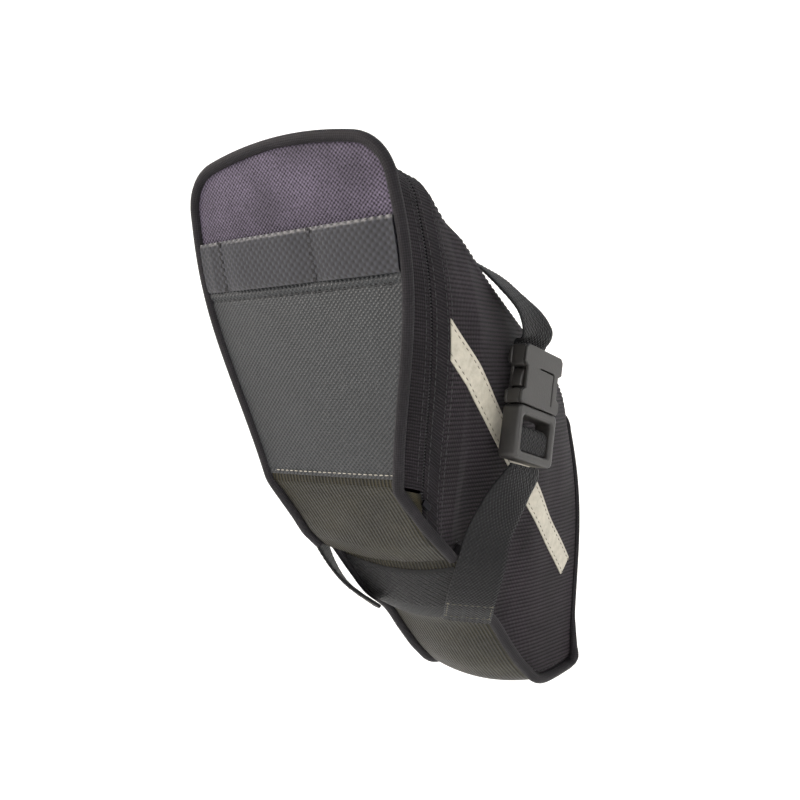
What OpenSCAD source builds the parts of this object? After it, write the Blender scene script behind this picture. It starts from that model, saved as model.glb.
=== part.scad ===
// Wedge-shaped bicycle seat bag that hangs from the saddle rails.
// Origin: on the top panel, midway between the saddle rails. +Y points to the
// front of the bicycle, +Z up, +X to the rider's right.

/* [Bag body] */
// Height of the rear lid along its own plane
lid_h = 130; // [110:1:156]
// Lean of the lid from upright, bottom edge further forward
lid_lean = 25; // [18:1:30]
// Half width of the lid at its bottom edge
lid_half_bottom = 33; // [28:0.5:42]
// Half width of the lid near its top
lid_half_top = 50.5; // [44:0.5:60]
// Radius of the lid's two top corners
lid_corner_r = 16; // [12:1:22]
// Depth of the zipped gusset, from the lid to the zip's middle
gusset_rear = 14; // [11:0.5:18]
// Thickness of the outer fabric
fabric_t = 0.9; // [0.6:0.1:1.4]
// Thickness of the lining sheet
lining_t = 0.5; // [0.4:0.1:0.8]
// Thickness of the lid's stiffening board
board_t = 1.8; // [1:0.1:3]
// Radius of the corded piping
piping_r = 2.2; // [1.6:0.1:2.8]

/* [Webbing] */
// Width of all strap webbing
web_w = 20; // [18:1:21]
// Thickness of the webbing
web_t = 1.5; // [1.2:0.1:1.7]
// Width of the band sewn across the underside
band_w = 25; // [20:1:28]
// Width of the reflective tape
tape_w = 10; // [8:0.5:14]
// Height of the room for a saddle rail under the rail strap
rail_room = 9.5; // [8:0.5:12]

/* [Buckles] */
// Width of the side-release buckles
buckle_w = 27.5; // [27.5:0.5:32]
// Thickness of the buckles
buckle_t = 8.4; // [8:0.2:10]
// Length of the socket half
socket_l = 24; // [22:0.5:28]
// Length of the plug half's frame
plug_l = 21.5; // [20:0.5:25]
// Running clearance between the two halves
buckle_gap = 0.3; // [0.2:0.05:0.5]

/* [Front strap] */
// Width of the hook-and-loop strap that goes round the seat post
post_w = 25; // [20:1:30]
// Half length of the strap when its tails lie folded
post_half = 21; // [18:0.5:24]
// Thickness of the hook-and-loop strap
post_t = 1.6; // [1.2:0.1:2]

/* [Zip] */
// Width of one half of the zip's coil
coil_w = 2.4; // [2:0.1:3]
// Thickness of the coil
coil_t = 1.3; // [1:0.1:1.6]
// Length of the slider's body
slider_l = 9; // [8:0.5:11]
// Length of the pull tab
pull_l = 18; // [14:1:24]

/* [Hidden] */

clear = 0.3;          // gap kept between pieces of different bodies
touch = 0.05;         // gap kept between sewn pieces
hinge_y = -30;        // the lid's fold line, at the lid's bottom edge
hinge_z = -91;
lid_top_y = hinge_y - lid_h * sin(lid_lean);
lid_top_z = hinge_z + lid_h * cos(lid_lean);

// Stations along the bag from the lid to the front seam. Each one is a
// cross-section in a plane through the X direction:
// [bottom y, bottom z, top y, top z, half width at bottom, half width at top,
//  side bulge, bottom corner radius, top corner radius, bottom crown, top crown]
STATIONS = [
  [hinge_y, hinge_z, lid_top_y, lid_top_z, lid_half_bottom, lid_half_top, 6, 4, lid_corner_r, 0, 4],
  [hinge_y + gusset_rear * 1.28, -103, lid_top_y + gusset_rear * 1.2, lid_top_z - 2,
   lid_half_bottom + 1.5, lid_half_top, 6, 5, lid_corner_r - 1, 1, 4],
  [-3, -109, -58, 25, 36.5, 50.5, 7, 6, 14, 2, 4],
  [7, -114, -43, 16, 37, 49.5, 8, 6, 12, 3, 3],
  [10, -109.5, -32, 12, 34, 49, 8.5, 6, 10, 3, 2.5],
  [24, -122, -8, 2.4, 31.5, 47, 9, 6, 9, 4, 2],
  [36, -131, 12, -3.6, 30, 45, 9.5, 6, 9, 4, 2],
  [50, -137, 32, -8.5, 29, 42, 9.5, 6, 9, 4, 2],
  [64, -147, 50, -12.5, 29, 39, 9, 6, 9, 4, 2],
  [78, -156, 66, -17, 29.5, 36, 7.5, 7, 9, 4, 2],
  [93, -161, 80, -24, 30, 33.5, 6, 8, 9, 3, 2],
  [119, -154, 89, -34, 30.5, 31, 4, 10, 9, 2, 2]];
FRONT = len(STATIONS) - 1;

// Points per stretch of a half cross-section: bottom, corner, side, corner, top
N_FLAT = 3;
N_CORNER = 4;
N_SIDE = 10;
K_BOTTOM = N_FLAT + N_CORNER / 2;                    // the bottom seam
K_SIDE = N_FLAT + N_CORNER;                          // the side's lowest point
K_TOP = N_FLAT + N_CORNER + N_SIDE + N_CORNER / 2;   // the top seam
K_MID = 2 * (N_FLAT + N_CORNER) + N_SIDE;            // the top's middle

function mix(a, b, t) = a + (b - a) * t;
function unit(v) = v / norm(v);
function clamp(v, low, high) = min(max(v, low), high);

// A station's values at any place along the bag, on a smooth curve
function spline(a, b, c, d, t) =
  0.5 * (2 * b + (c - a) * t + (2 * a - 5 * b + 4 * c - d) * t * t + (3 * b - a - 3 * c + d) * t * t * t);
function station(u) =
  let (i = clamp(floor(u), 0, FRONT - 1), t = u - i, b = STATIONS[i], c = STATIONS[i + 1])
  i < 4 ? mix(b, c, t) : spline(STATIONS[i - 1], b, c, STATIONS[min(i + 2, FRONT)], t);

function height(s) = norm([s[2] - s[0], s[3] - s[1]]);

// Half cross-section: [x, distance up the station] of point k
function side_x(s, f) = mix(s[4], s[5], f) + s[6] * sin(180 * pow(f, 1.5));
function outline(s, k) =
  let (h = height(s), rb = s[7], rt = s[8], cb = s[9], ct = s[10], k1 = N_FLAT, k2 = k1 + N_CORNER,
       k3 = k2 + N_SIDE, k4 = k3 + N_CORNER, ab = atan(2 * cb / (s[4] - rb)), at = atan(2 * ct / (s[5] - rt)),
       xb = s[4] - rb + rb * sin(ab), xt = s[5] - rt + rt * sin(at), vb = rb * cos(ab), vt = h - ct - rt * cos(at))
  k <= k1 ? let (x = xb * k / k1) [x, -cb * (1 - pow(x / xb, 2))]
  : k <= k2 ? let (a = mix(ab, 90, (k - k1) / N_CORNER)) [s[4] - rb + rb * sin(a), vb - rb * cos(a)]
  : k <= k3 ? let (f = (k - k2) / N_SIDE) [side_x(s, f), mix(vb, vt, f)]
  : k <= k4 ? let (a = mix(0, 90 - at, (k - k3) / N_CORNER)) [s[5] - rt + rt * cos(a), vt + rt * sin(a)]
  : let (x = xt * (K_MID - k) / N_FLAT) [x, h - ct * pow(x / xt, 2)];
// Any k: past the top's middle, and below zero, lies the bag's left half
function ring(s, k) =
  k < 0 ? let (p = outline(s, -k)) [-p[0], p[1]]
  : k > K_MID ? let (p = outline(s, 2 * K_MID - k)) [-p[0], p[1]]
  : outline(s, k);
function ring_in(s, k, d) =
  let (t = unit(ring(s, k + 0.5) - ring(s, k - 0.5))) ring(s, k) + d * [-t[1], t[0]];
function place(s, p) =
  let (h = height(s), dy = (s[2] - s[0]) / h, dz = (s[3] - s[1]) / h) [p[0], s[0] + dy * p[1], s[1] + dz * p[1]];
// Point of the bag's skin: station u, ring point k, depth d under the surface
function skin(u, k, d) = let (s = station(u)) place(s, ring_in(s, k, d));

function shell_points(us, ks, d0, d1) = [for (d = [d0, d1]) for (u = us) for (k = ks) skin(u, k, d)];
function grid_faces(nu, nk) = let (n = nu * nk) concat(
  [for (i = [0:nu - 2]) for (j = [0:nk - 2]) let (a = i * nk + j) each [[a, a + 1, a + nk], [a + 1, a + nk + 1, a + nk]]],
  [for (i = [0:nu - 2]) for (j = [0:nk - 2]) let (a = n + i * nk + j) each [[a, a + nk, a + 1], [a + 1, a + nk, a + nk + 1]]],
  [for (i = [0:nu - 2]) for (j = [0, nk - 1]) let (a = i * nk + j, b = a + nk)
    each j == 0 ? [[a, b, b + n], [a, b + n, a + n]] : [[a, b + n, b], [a, a + n, b + n]]],
  [for (j = [0:nk - 2]) for (i = [0, nu - 1]) let (a = i * nk + j, b = a + 1)
    each i == 0 ? [[a, b + n, b], [a, a + n, b + n]] : [[a, b, b + n], [a, b + n, a + n]]]);
// A sheet of the bag's skin between two depths
module sheet(us, ks, d0, d1) {
  polyhedron(shell_points(us, ks, d0, d1), grid_faces(len(us), len(ks)), convexity = 6);
}

// A tube or strap: one ring of profile points for each path point
module loft(rings) {
  n = len(rings[0]);
  m = len(rings);
  polyhedron([for (r = rings) each r], concat(
    [[for (j = [0:n - 1]) j], [for (j = [n - 1:-1:0]) (m - 1) * n + j]],
    [for (i = [0:m - 2]) for (j = [0:n - 1]) let (a = i * n + j, b = i * n + (j + 1) % n)
      each [[a, a + n, b], [b, a + n, b + n]]]), convexity = 8);
}
function tangent(path, i) = unit(path[min(i + 1, len(path) - 1)] - path[max(i - 1, 0)]);
module tube(path, r, ref, sides = 8) {
  loft([for (i = [0:len(path) - 1]) let (t = tangent(path, i), a = unit(cross(t, ref)), b = cross(t, a))
    [for (j = [0:sides - 1]) path[i] + r * (a * cos(360 * j / sides) + b * sin(360 * j / sides))]]);
}
// A flat strap along a path, with the direction of its width at each point
module strap(path, across, w, t) {
  loft([for (i = [0:len(path) - 1]) let (d = tangent(path, i), a = unit(across[i] - d * (across[i] * d)), n = cross(d, a))
    [path[i] + a * w / 2 + n * t / 2, path[i] - a * w / 2 + n * t / 2,
     path[i] - a * w / 2 - n * t / 2, path[i] + a * w / 2 - n * t / 2]]);
}
function smooth_path(p, steps) = [for (i = [0:len(p) - 2]) for (j = [0:steps - 1])
  spline(p[max(i - 1, 0)], p[i], p[i + 1], p[min(i + 2, len(p) - 1)], j / steps), p[len(p) - 1]];
module both(side) {
  if (side > 0) children();
  else mirror([1, 0, 0]) children();
}

/* ---- Lid: a flat stack that folds down on its bottom edge ---- */
module on_lid() translate([0, hinge_y, hinge_z]) rotate([90 + lid_lean, 0, 0]) children();
// The lid's outline, drawn inwards by d, between two heights up the lid
function lid_outline(d) = [for (k = [0:2 * K_MID - 1]) ring_in(STATIONS[0], k, d)];
module lid_sheet(d, low, high, w0, w1) {
  on_lid() translate([0, 0, w0]) linear_extrude(w1 - w0) intersection() {
    polygon(lid_outline(d));
    translate([-lid_half_top * 2, low]) square([lid_half_top * 4, high - low]);
  }
}
strip_low = 79.5;                     // the light strap's lower edge, up the lid
strip_high = strip_low + web_w;
lid_edge = 1;                        // the lid starts this far above its fold

module lid_panel() color("#3a3640") lid_sheet(0, lid_edge, lid_h, -fabric_t, 0);
module lid_board() color("#d8d8d2")
  lid_sheet(3.5, lid_edge + 3, lid_h, -fabric_t - touch - board_t, -fabric_t - touch);
module lid_lining() color("#55585c")
  lid_sheet(3.8, lid_edge + 1, lid_h, -fabric_t - board_t - 2 * touch - lining_t, -fabric_t - board_t - 2 * touch);
module lid_patch() color("#33363a") lid_sheet(0.3, lid_edge, strip_low - touch, touch, touch + 0.7);
module light_strap() color("#26272b") lid_sheet(0.3, strip_low, strip_high, touch, touch + web_t);

piping_off = piping_r + touch;
seam_off = piping_r + 0.7;           // piping of the body's seams, which slant to the sections
lobe_off = piping_r + 1.6;
function lid_piping_path() = [for (k = [K_SIDE - 1:2 * K_MID - K_SIDE + 1])
  let (p = ring_in(STATIONS[0], k, -piping_off)) if (p[1] > lid_edge + 0.5) place(STATIONS[0], p)];
module lid_piping() color("#1e1d22") tube(lid_piping_path(), piping_r, [0, cos(lid_lean), sin(lid_lean)]);

/* ---- Zipped gusset: one half moves with the lid, one half stays ---- */
zip_gap = 0.05;                      // half the zip's gap, as a share of the gusset's rear half
zip_gap_front = 0.14;                // the same, as a share of its shorter front half
U_REAR = [0.1, 0.5, 1 - zip_gap];
U_FRONT = [1 + zip_gap_front, 1.5, 2];
KS_SIDE = [for (k = [K_SIDE:N_SIDE + K_SIDE]) k];
KS_GUSSET = [for (k = [K_BOTTOM + 1:2 * K_MID - K_BOTTOM - 1]) k];
coil_u = coil_w / gusset_rear;
module above_hinge(gap) intersection() {
  children();
  translate([-200, hinge_y - 100, hinge_z + gap]) cube([400, 200, 300]);
}
module below_hinge() difference() {
  children();
  translate([-200, hinge_y - 100, hinge_z]) cube([400, 200, 300]);
}
module lid_tape() color("#2b2a30") above_hinge(clear) sheet(U_REAR, KS_GUSSET, 0, fabric_t);
module lid_coil() color("#202024") above_hinge(clear + 2)
  sheet([1 - zip_gap - coil_u, 1 - zip_gap], KS_GUSSET, fabric_t + touch, fabric_t + touch + coil_t);
module body_tape() color("#2b2a30") sheet(U_FRONT, KS_GUSSET, 0, fabric_t);
module body_coil() color("#202024")
  sheet([1 + zip_gap_front, 1 + zip_gap_front + coil_u], KS_GUSSET, fabric_t + touch, fabric_t + touch + coil_t);
// Stops bent over the tape just below the zip's two lower ends
module zip_stops() color("#6c6e72") for (m = [0, 1]) mirror([m, 0, 0])
  translate(skin(1, K_SIDE + 0.35, -1.8)) rotate([-lid_lean, 0, 0]) cube([1.2, 5, 2.6], center = true);

/* ---- Fixed lobe under the lid ---- */
// It closes the gusset's lower end as far as the zip, and is narrower past it
U_LOBE = [0, 0.5, 1 - zip_gap, 1, 1.5, 2, 2.5, 3];
lobe_n = 10;                         // points on each side of its middle
function lobe_reach(u) = u < 1 ? K_SIDE + 3 : u < 2 ? K_BOTTOM + 1 : K_BOTTOM;
module lobe_panel() color("#4a473c") below_hinge() polyhedron(
  [for (d = [0, fabric_t]) for (u = U_LOBE) for (i = [-lobe_n:lobe_n]) skin(u, lobe_reach(u) * i / lobe_n, d)],
  grid_faces(len(U_LOBE), 2 * lobe_n + 1), convexity = 6);
function lobe_path() = [for (u = [0.1:0.25:2.7]) skin(u, K_BOTTOM, -lobe_off)];
module lobe_piping() color("#1e1d22") for (m = [0, 1]) mirror([m, 0, 0])
  tube(lobe_path(), piping_r, [1, 0, 0]);

/* ---- Body panels ---- */
U_BODY = [for (u = [2:0.5:FRONT]) u];
module side_panel(side) both(side) sheet(U_BODY, [for (k = [K_BOTTOM:K_TOP]) k], 0, fabric_t);
module side_panel_right() color("#35333a") side_panel(1);
module side_panel_left() color("#35333a") side_panel(-1);
module top_panel() color("#35333a") sheet(U_BODY, [for (k = [K_TOP:2 * K_MID - K_TOP]) k], 0, fabric_t);
module belly_panel() color("#3b3a34")
  sheet([for (u = [3:0.5:FRONT]) u], [for (k = [-K_BOTTOM:K_BOTTOM]) k], 0, fabric_t);

front_dome = 4;                      // how far the front panel bulges
front_n = 2 * K_MID;
front_forward = let (s = STATIONS[FRONT], d = unit([s[2] - s[0], s[3] - s[1]])) [0, d[1], -d[0]];
front_mid = let (s = STATIONS[FRONT]) [0, (s[0] + s[2]) / 2, (s[1] + s[3]) / 2];
function dome_ring(f, lift, back) = [for (k = [0:front_n - 1])
  front_mid + (place(STATIONS[FRONT], ring(STATIONS[FRONT], k)) - front_mid) * f + front_forward * (lift - back)];
module front_panel() color("#35333a") loft([
  dome_ring(0.9, 0, 0), dome_ring(1, touch, 0), dome_ring(1, fabric_t, 0), dome_ring(0.85, front_dome * 0.7, -fabric_t),
  dome_ring(0.5, front_dome, -fabric_t)]);

function seam_path() = concat(
  [for (u = [3.3:0.4:FRONT - 0.2]) skin(u, K_BOTTOM, -seam_off)],
  [for (k = [K_BOTTOM + 0.5:1:K_TOP]) skin(FRONT, k, -seam_off)]);
module seam_piping(side) both(side) tube(seam_path(), piping_r, [1, 0, 0]);
module seam_piping_right() color("#1e1d22") seam_piping(1);
module seam_piping_left() color("#1e1d22") seam_piping(-1);

// Reflective tape drops forwards in a straight line across each side
tape_y = -40;                        // its upper edge at the gusset's seam
tape_z = -25.5;
tape_drop = 29.5;                    // its slope
tape_lift = 0.5;
module reflective_tape(side) both(side) intersection() {
  sheet([for (u = [2.05:0.3:FRONT - 0.1]) u], [for (k = [K_SIDE:N_SIDE + K_SIDE]) k], -tape_lift, -tape_lift / 2);
  translate([0, tape_y, tape_z]) rotate([-tape_drop, 0, 0]) translate([0, -30, -tape_w]) cube([100, 230, tape_w]);
}
module reflective_tape_right() color("#b9b6ae") reflective_tape(1);
module reflective_tape_left() color("#b9b6ae") reflective_tape(-1);

lining_depth = fabric_t + 1.6 + coil_t;
module body_lining() color("#55585c")
  sheet([for (u = [2.1:0.5:FRONT - 0.4]) u], [for (k = [-K_MID + 1:K_MID - 1]) k], lining_depth, lining_depth + lining_t);

/* ---- Underside band ---- */
band_u = 4.55;                       // where the band's rear edge lies
band_reach = K_BOTTOM - 1.8;         // its ends stop short of the seams' piping
band_lift = 0.4;
module belly_band() color("#26272b")
  sheet([for (i = [0:6]) band_u + i * band_w / 90], [for (k = [-1:0.25:1]) k * band_reach], -band_lift - web_t, -band_lift);

/* ---- Buckles: local frame has the width on X, the outer face on -Y, +Z up, ---- */
/* ---- and its origin where the two halves meet ---- */
buckle_x = 57.6;
buckle_y = 17;
buckle_z = -51;
module at_buckle(side) both(side) translate([buckle_x, buckle_y, buckle_z]) rotate([0, 0, 90]) children();
module rounded(w, h, r) {
  translate([-w / 2 + r, 0]) square([w - 2 * r, h]);
  translate([-w / 2, r]) square([w, h - 2 * r]);
  for (x = [-w / 2 + r, w / 2 - r]) for (y = [r, h - r]) translate([x, y]) circle(r, $fn = 24);
}
// A plate standing in the buckle's plane, thickness t centred on the plane
module plate(t) rotate([90, 0, 0]) translate([0, 0, -t / 2]) linear_extrude(t) children();
cavity_t = buckle_t - 3;             // the socket's inner room
cavity_w = buckle_w - 4;
bar_h = 3.6;                         // the bars that the webbing goes round
slot_h = 3.6;                        // the slot beside the socket's bar
window_h = 10;                       // the side windows where the prongs latch
window_z = 6;
module socket_half(side) at_buckle(side) translate([0, 0, buckle_gap]) difference() {
  plate(buckle_t) rounded(buckle_w, socket_l - buckle_gap, 2);
  translate([-cavity_w / 2, -cavity_t / 2, -1])
    cube([cavity_w, cavity_t, socket_l - bar_h - slot_h - 1.6]);
  translate([-web_w / 2 - 0.5, -buckle_t, socket_l - buckle_gap - bar_h - slot_h])
    cube([web_w + 1, 2 * buckle_t, slot_h]);
  for (x = [-buckle_w / 2 - 1, cavity_w / 2 - 0.1]) translate([x, -cavity_t / 2, window_z])
    cube([3.1, cavity_t, window_h]);
}
module buckle_socket_right() color("#2e2d2c") socket_half(1);
module buckle_socket_left() color("#2e2d2c") socket_half(-1);

prong_l = 15;
prong_w = 3;
prong_t = cavity_t - 2 * buckle_gap;
prong_x = cavity_w / 2 - buckle_gap - prong_w / 2 - 0.9;
guide_w = 6;
window_w = web_w + 0.6;
plug_window = plug_l - 7.6;
module plug_half(side) at_buckle(side) {
  difference() {
    plate(buckle_t) translate([0, -plug_l]) rounded(buckle_w, plug_l, 2);
    translate([-window_w / 2, -buckle_t, -plug_l + 3.6]) cube([window_w, 2 * buckle_t, plug_window]);
  }
  translate([-window_w / 2 - 1, -1.2, -plug_l + 3.6 + plug_window / 2 - bar_h / 2])
    cube([window_w + 2, 2.4, bar_h]);
  translate([-guide_w / 2, -prong_t / 2, -1]) cube([guide_w, prong_t, 13]);
}
module buckle_plug_right() color("#2e2d2c") plug_half(1);
module buckle_plug_left() color("#2e2d2c") plug_half(-1);

prong_foot = 0.35;
barb = 2.4;
module prong(side, end) at_buckle(side) mirror([end > 0 ? 0 : 1, 0, 0]) plate(prong_t) union() {
  translate([prong_x - prong_w / 2, prong_foot]) square([prong_w, prong_l - prong_w]);
  translate([prong_x, prong_foot + prong_l - prong_w]) circle(prong_w / 2, $fn = 24);
  translate([prong_x, prong_foot + window_z + 0.6]) square([prong_w / 2 + barb, window_h - 3]);
}
module prong_front_right() color("#2e2d2c") prong(1, 1);
module prong_rear_right() color("#2e2d2c") prong(1, -1);
module prong_front_left() color("#2e2d2c") prong(-1, 1);
module prong_rear_left() color("#2e2d2c") prong(-1, -1);

// Webbing turned round the plug's middle bar
module ladder_wrap(side) at_buckle(side)
  translate([-web_w / 2, 0, -plug_l + 3.6 + plug_window / 2]) rotate([90, 0, 90]) linear_extrude(web_w) difference() {
    translate([-1.2 - 0.15 - web_t, -plug_window / 2 + 0.3]) square([2.4 + 0.3 + 2 * web_t, plug_window / 2 + bar_h / 2 + 0.15 + web_t - 0.3]);
    translate([-1.2 - 0.15, -plug_window / 2]) square([2.7, plug_window / 2 + bar_h / 2 + 0.15]);
  }
module ladder_wrap_right() color("#26272b") ladder_wrap(1);
module ladder_wrap_left() color("#26272b") ladder_wrap(-1);

// Rail strap: sewn to the top panel, over a rail, over the top edge and
// round the socket's bar
rail_x = 22;
bar_z = buckle_z + socket_l - bar_h / 2;
RAIL_PATH = [[4, 0, 1.3], [13, 0, 3.8], [rail_x, 0, rail_room + web_t + 0.4], [31, 0, 7.4], [41, 0.8, 2.7],
  [49.8, 4, -4.8], [56, 9.5, -12.4], [buckle_x + 3.2, 15.5, -19.5], [buckle_x + 3.2, buckle_y, bar_z + 4]];
// The strap lies along the sloping top at its seam and is level on the rail
rail_slope = 17;
function rail_across(p) = [for (q = p) let (t = clamp((rail_x - q[0]) / 12, 0, 1)) [0, cos(rail_slope * t), -sin(rail_slope * t)]];
module rail_strap(side) both(side) {
  let (p = smooth_path(RAIL_PATH, 3)) strap(p, rail_across(p), web_w, web_t);
  translate([buckle_x, buckle_y, bar_z]) rotate([90, 0, 0]) translate([0, 0, -web_w / 2]) linear_extrude(web_w)
    bar_wrap();
}
// The turn of webbing round the socket's bar, seen from the side
module bar_wrap() difference() {
  translate([-buckle_t / 2 - 0.2 - web_t, -bar_h / 2 - 0.2 - web_t])
    square([buckle_t + 0.4 + 2 * web_t, bar_h + 1.4 + 2 * web_t]);
  translate([-buckle_t / 2 - 0.2, -bar_h / 2 - 0.2]) square([buckle_t + 0.4, bar_h + 1.4]);
}
module rail_strap_right() color("#26272b") rail_strap(1);
module rail_strap_left() color("#26272b") rail_strap(-1);

// Lower strap: from the plug, twisting under the bag, to its seam on the underside
plug_end = buckle_z - plug_l;
past = 2 * (piping_r - 2.2);         // a thicker piping pushes the straps this much further out
LOWER_PATH = [[buckle_x, buckle_y, plug_end - 1.2], [buckle_x, buckle_y, plug_end - 4.2],
  [56, 15, -82], [52.5, 12, -92], [48 + past, 12, -103], [44 + past, 15, -115 - past],
  [35 + past, 24, -128.5 - past], [25, 37, -136.5 - past]];
LOWER_TURN = [0, 2, 8, 20, 28, 36, 44, 48];
// The left strap, out of view on the far side, hangs nearer to the bag and twists later
LEFT_PATH = [[buckle_x, buckle_y, plug_end - 1.2], [buckle_x - 0.4, buckle_y, plug_end - 4.2],
  [54.4, 15, -82], [50, 13, -92], [46 + past, 13, -103], [42.5 + past, 16, -115 - past],
  [35 + past, 25, -128.5 - past], [25, 37, -136.5 - past]];
LEFT_TURN = [0, 0, 4, 10, 18, 28, 40, 48];
function turned(p, turns) = [for (i = [0:len(p) - 1])
  let (f = i / 3, j = min(floor(f), len(turns) - 2), t = mix(turns[j], turns[j + 1], f - j)) [sin(t), cos(t), 0]];
module lower_strap(side) both(side)
  let (p = smooth_path(side > 0 ? LOWER_PATH : LEFT_PATH, 3))
  strap(p, turned(p, side > 0 ? LOWER_TURN : LEFT_TURN), web_w, web_t);
module lower_strap_right() color("#26272b") lower_strap(1);
module lower_strap_left() color("#26272b") lower_strap(-1);

/* ---- Zip slider and pull, at the lower left end of the zip ---- */
slider_k = K_SIDE + 3.2;             // where the slider is parked
slider_at = skin(1, slider_k, 0);
slider_to = skin(1, slider_k + 3, 0);
slider_run = slider_to - slider_at;  // along the right edge; the left one is its mirror image
slider_lean_y = atan2(-slider_run[1], slider_run[2]);
slider_lean_x = atan2(slider_run[0], slider_run[2]);
module at_slider() mirror([1, 0, 0]) translate(slider_at) rotate([slider_lean_y, 0, 0]) rotate([0, slider_lean_x, 0])
  children();
slider_w = 7;
module zip_slider() color("#5a5c60") at_slider() {
  translate([2.3, -slider_w / 2, 0]) cube([1.05, slider_w, slider_l]);
  translate([-3.6, -0.3, 1]) cube([6.2, 0.6, slider_l - 2]);
  difference() {
    translate([3.2, -1.4, 1.4]) cube([3.2, 2.8, slider_l - 2.8]);
    translate([4.4, 0, slider_l - 4]) rotate([90, 0, 0]) cylinder(r = 1, h = 10, center = true, $fn = 24);
  }
}
module pull_tab() color("#26272b") at_slider() translate([4.4, 0, slider_l - 4]) {
  rotate([90, 0, 0]) cylinder(r = 0.95, h = 5.4, center = true, $fn = 24);
  for (y = [-3.4, 1.8]) translate([-0.95, y, -8]) cube([1.9, 1.6, 8.35]);
  translate([-0.95, -3.4, -pull_l]) cube([1.9, 6.8, pull_l - 8]);
}

/* ---- Seat post strap: sewn across the front panel, its two tails folded flat ---- */
post_up = 18;                        // above the panel's middle, along the panel
tail_layers = 3;                     // each tail is folded this many times
tail_t = tail_layers * post_t;
module on_front() translate(front_mid) rotate([atan2(front_forward[2], front_forward[1]), 0, 0])
  translate([0, front_dome + fabric_t + 0.4, post_up]) children();
module post_leaf(x0, x1, y0, t) translate([x0, y0, -post_w / 2]) cube([x1 - x0, t, post_w]);
module post_strap_base() color("#26272b") on_front() post_leaf(-post_half, post_half, 0, post_t);
module post_strap_hook() color("#26272b") on_front() post_leaf(0.5, post_half, post_t + clear, tail_t);
module post_strap_loop() color("#303034") on_front() post_leaf(-post_half, -0.5, post_t + clear, tail_t);

lid_panel();
lid_board();
lid_lining();
lid_patch();
light_strap();
lid_piping();
lid_tape();
lid_coil();
body_tape();
body_coil();
zip_stops();
lobe_panel();
lobe_piping();
side_panel_right();
side_panel_left();
top_panel();
belly_panel();
front_panel();
seam_piping_right();
seam_piping_left();
reflective_tape_right();
reflective_tape_left();
body_lining();
belly_band();
rail_strap_right();
rail_strap_left();
lower_strap_right();
lower_strap_left();
ladder_wrap_right();
ladder_wrap_left();
buckle_socket_right();
buckle_socket_left();
buckle_plug_right();
buckle_plug_left();
prong_front_right();
prong_rear_right();
prong_front_left();
prong_rear_left();
zip_slider();
pull_tab();
post_strap_base();
post_strap_hook();
post_strap_loop();
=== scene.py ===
from math import cos, pi, radians, sin, tau

import bpy
import numpy as np
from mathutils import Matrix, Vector


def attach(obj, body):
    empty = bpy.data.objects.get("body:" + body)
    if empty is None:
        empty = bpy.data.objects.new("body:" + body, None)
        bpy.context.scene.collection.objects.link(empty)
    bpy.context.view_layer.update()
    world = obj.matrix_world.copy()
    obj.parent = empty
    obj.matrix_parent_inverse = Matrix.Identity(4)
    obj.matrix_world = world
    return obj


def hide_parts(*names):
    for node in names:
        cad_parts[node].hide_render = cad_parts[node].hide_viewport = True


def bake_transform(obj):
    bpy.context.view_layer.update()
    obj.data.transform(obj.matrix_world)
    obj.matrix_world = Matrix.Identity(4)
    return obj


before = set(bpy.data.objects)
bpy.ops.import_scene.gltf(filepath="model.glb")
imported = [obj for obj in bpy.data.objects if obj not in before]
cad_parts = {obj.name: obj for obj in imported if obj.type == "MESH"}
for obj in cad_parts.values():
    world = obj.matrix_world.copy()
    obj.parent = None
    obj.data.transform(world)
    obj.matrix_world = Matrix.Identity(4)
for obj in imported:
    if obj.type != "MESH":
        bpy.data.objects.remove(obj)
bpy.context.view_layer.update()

MM = 0.001                                   # everything below is in millimetres

# ---- Studio -----------------------------------------------------------------
# The bag hangs in a plain white sweep. The camera stands behind it, to its
# right and a little under it, and is rolled a few degrees.
scene = bpy.context.scene
scene.view_settings.view_transform = "Standard"
lens = bpy.data.cameras.new("camera")
lens.lens, lens.sensor_width = 45, 36
camera = bpy.data.objects.new("camera", lens)
camera.location = (0.2726, -0.3148, -0.1219)
camera.rotation_euler = (radians(99.893), radians(-7.688), radians(39.181))
scene.collection.objects.link(camera)
scene.camera = camera

BAG_MIDDLE = Vector((0, 0.01, -0.06))


def hex_colour(text):
    """Linear RGBA from an sRGB hex colour."""
    parts = [int(text[i:i + 2], 16) / 255 for i in (1, 3, 5)]
    return [p / 12.92 if p < 0.04045 else ((p + 0.055) / 1.055) ** 2.4 for p in parts] + [1.0]


def add(tree, kind, inputs=None, **settings):
    """Adds a node. An input given as a socket is linked, any other is set."""
    new = tree.nodes.new(kind)
    for name, value in settings.items():
        setattr(new, name, value)
    for name, value in (inputs or {}).items():
        if isinstance(value, bpy.types.NodeSocket):
            tree.links.new(value, new.inputs[name])
        else:
            new.inputs[name].default_value = value
    return new


def blank_material(name):
    """A new material's tree and its Principled shader."""
    material = bpy.data.materials.new(name)
    material.use_nodes = True
    tree = material.node_tree
    tree.nodes.clear()
    shader = add(tree, "ShaderNodeBsdfPrincipled")
    add(tree, "ShaderNodeOutputMaterial", {"Surface": shader.outputs[0]})
    return material, tree, shader


def mottled(name, low, high, scale, rough, detail=2.0):
    """A material that wanders between two colours: it, its tree, shader, place and pattern."""
    material, tree, shader = blank_material(name)
    place = add(tree, "ShaderNodeTexCoord").outputs["Object"]
    pattern = add(tree, "ShaderNodeTexNoise", {"Vector": place, "Scale": scale, "Detail": detail}).outputs[0]
    colour = add(tree, "ShaderNodeMix", {"Factor": pattern, 6: hex_colour(low), 7: hex_colour(high)},
                 data_type="RGBA")
    tree.links.new(colour.outputs[2], shader.inputs["Base Color"])
    shader.inputs["Roughness"].default_value = rough
    return material, tree, shader, place, pattern


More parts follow.
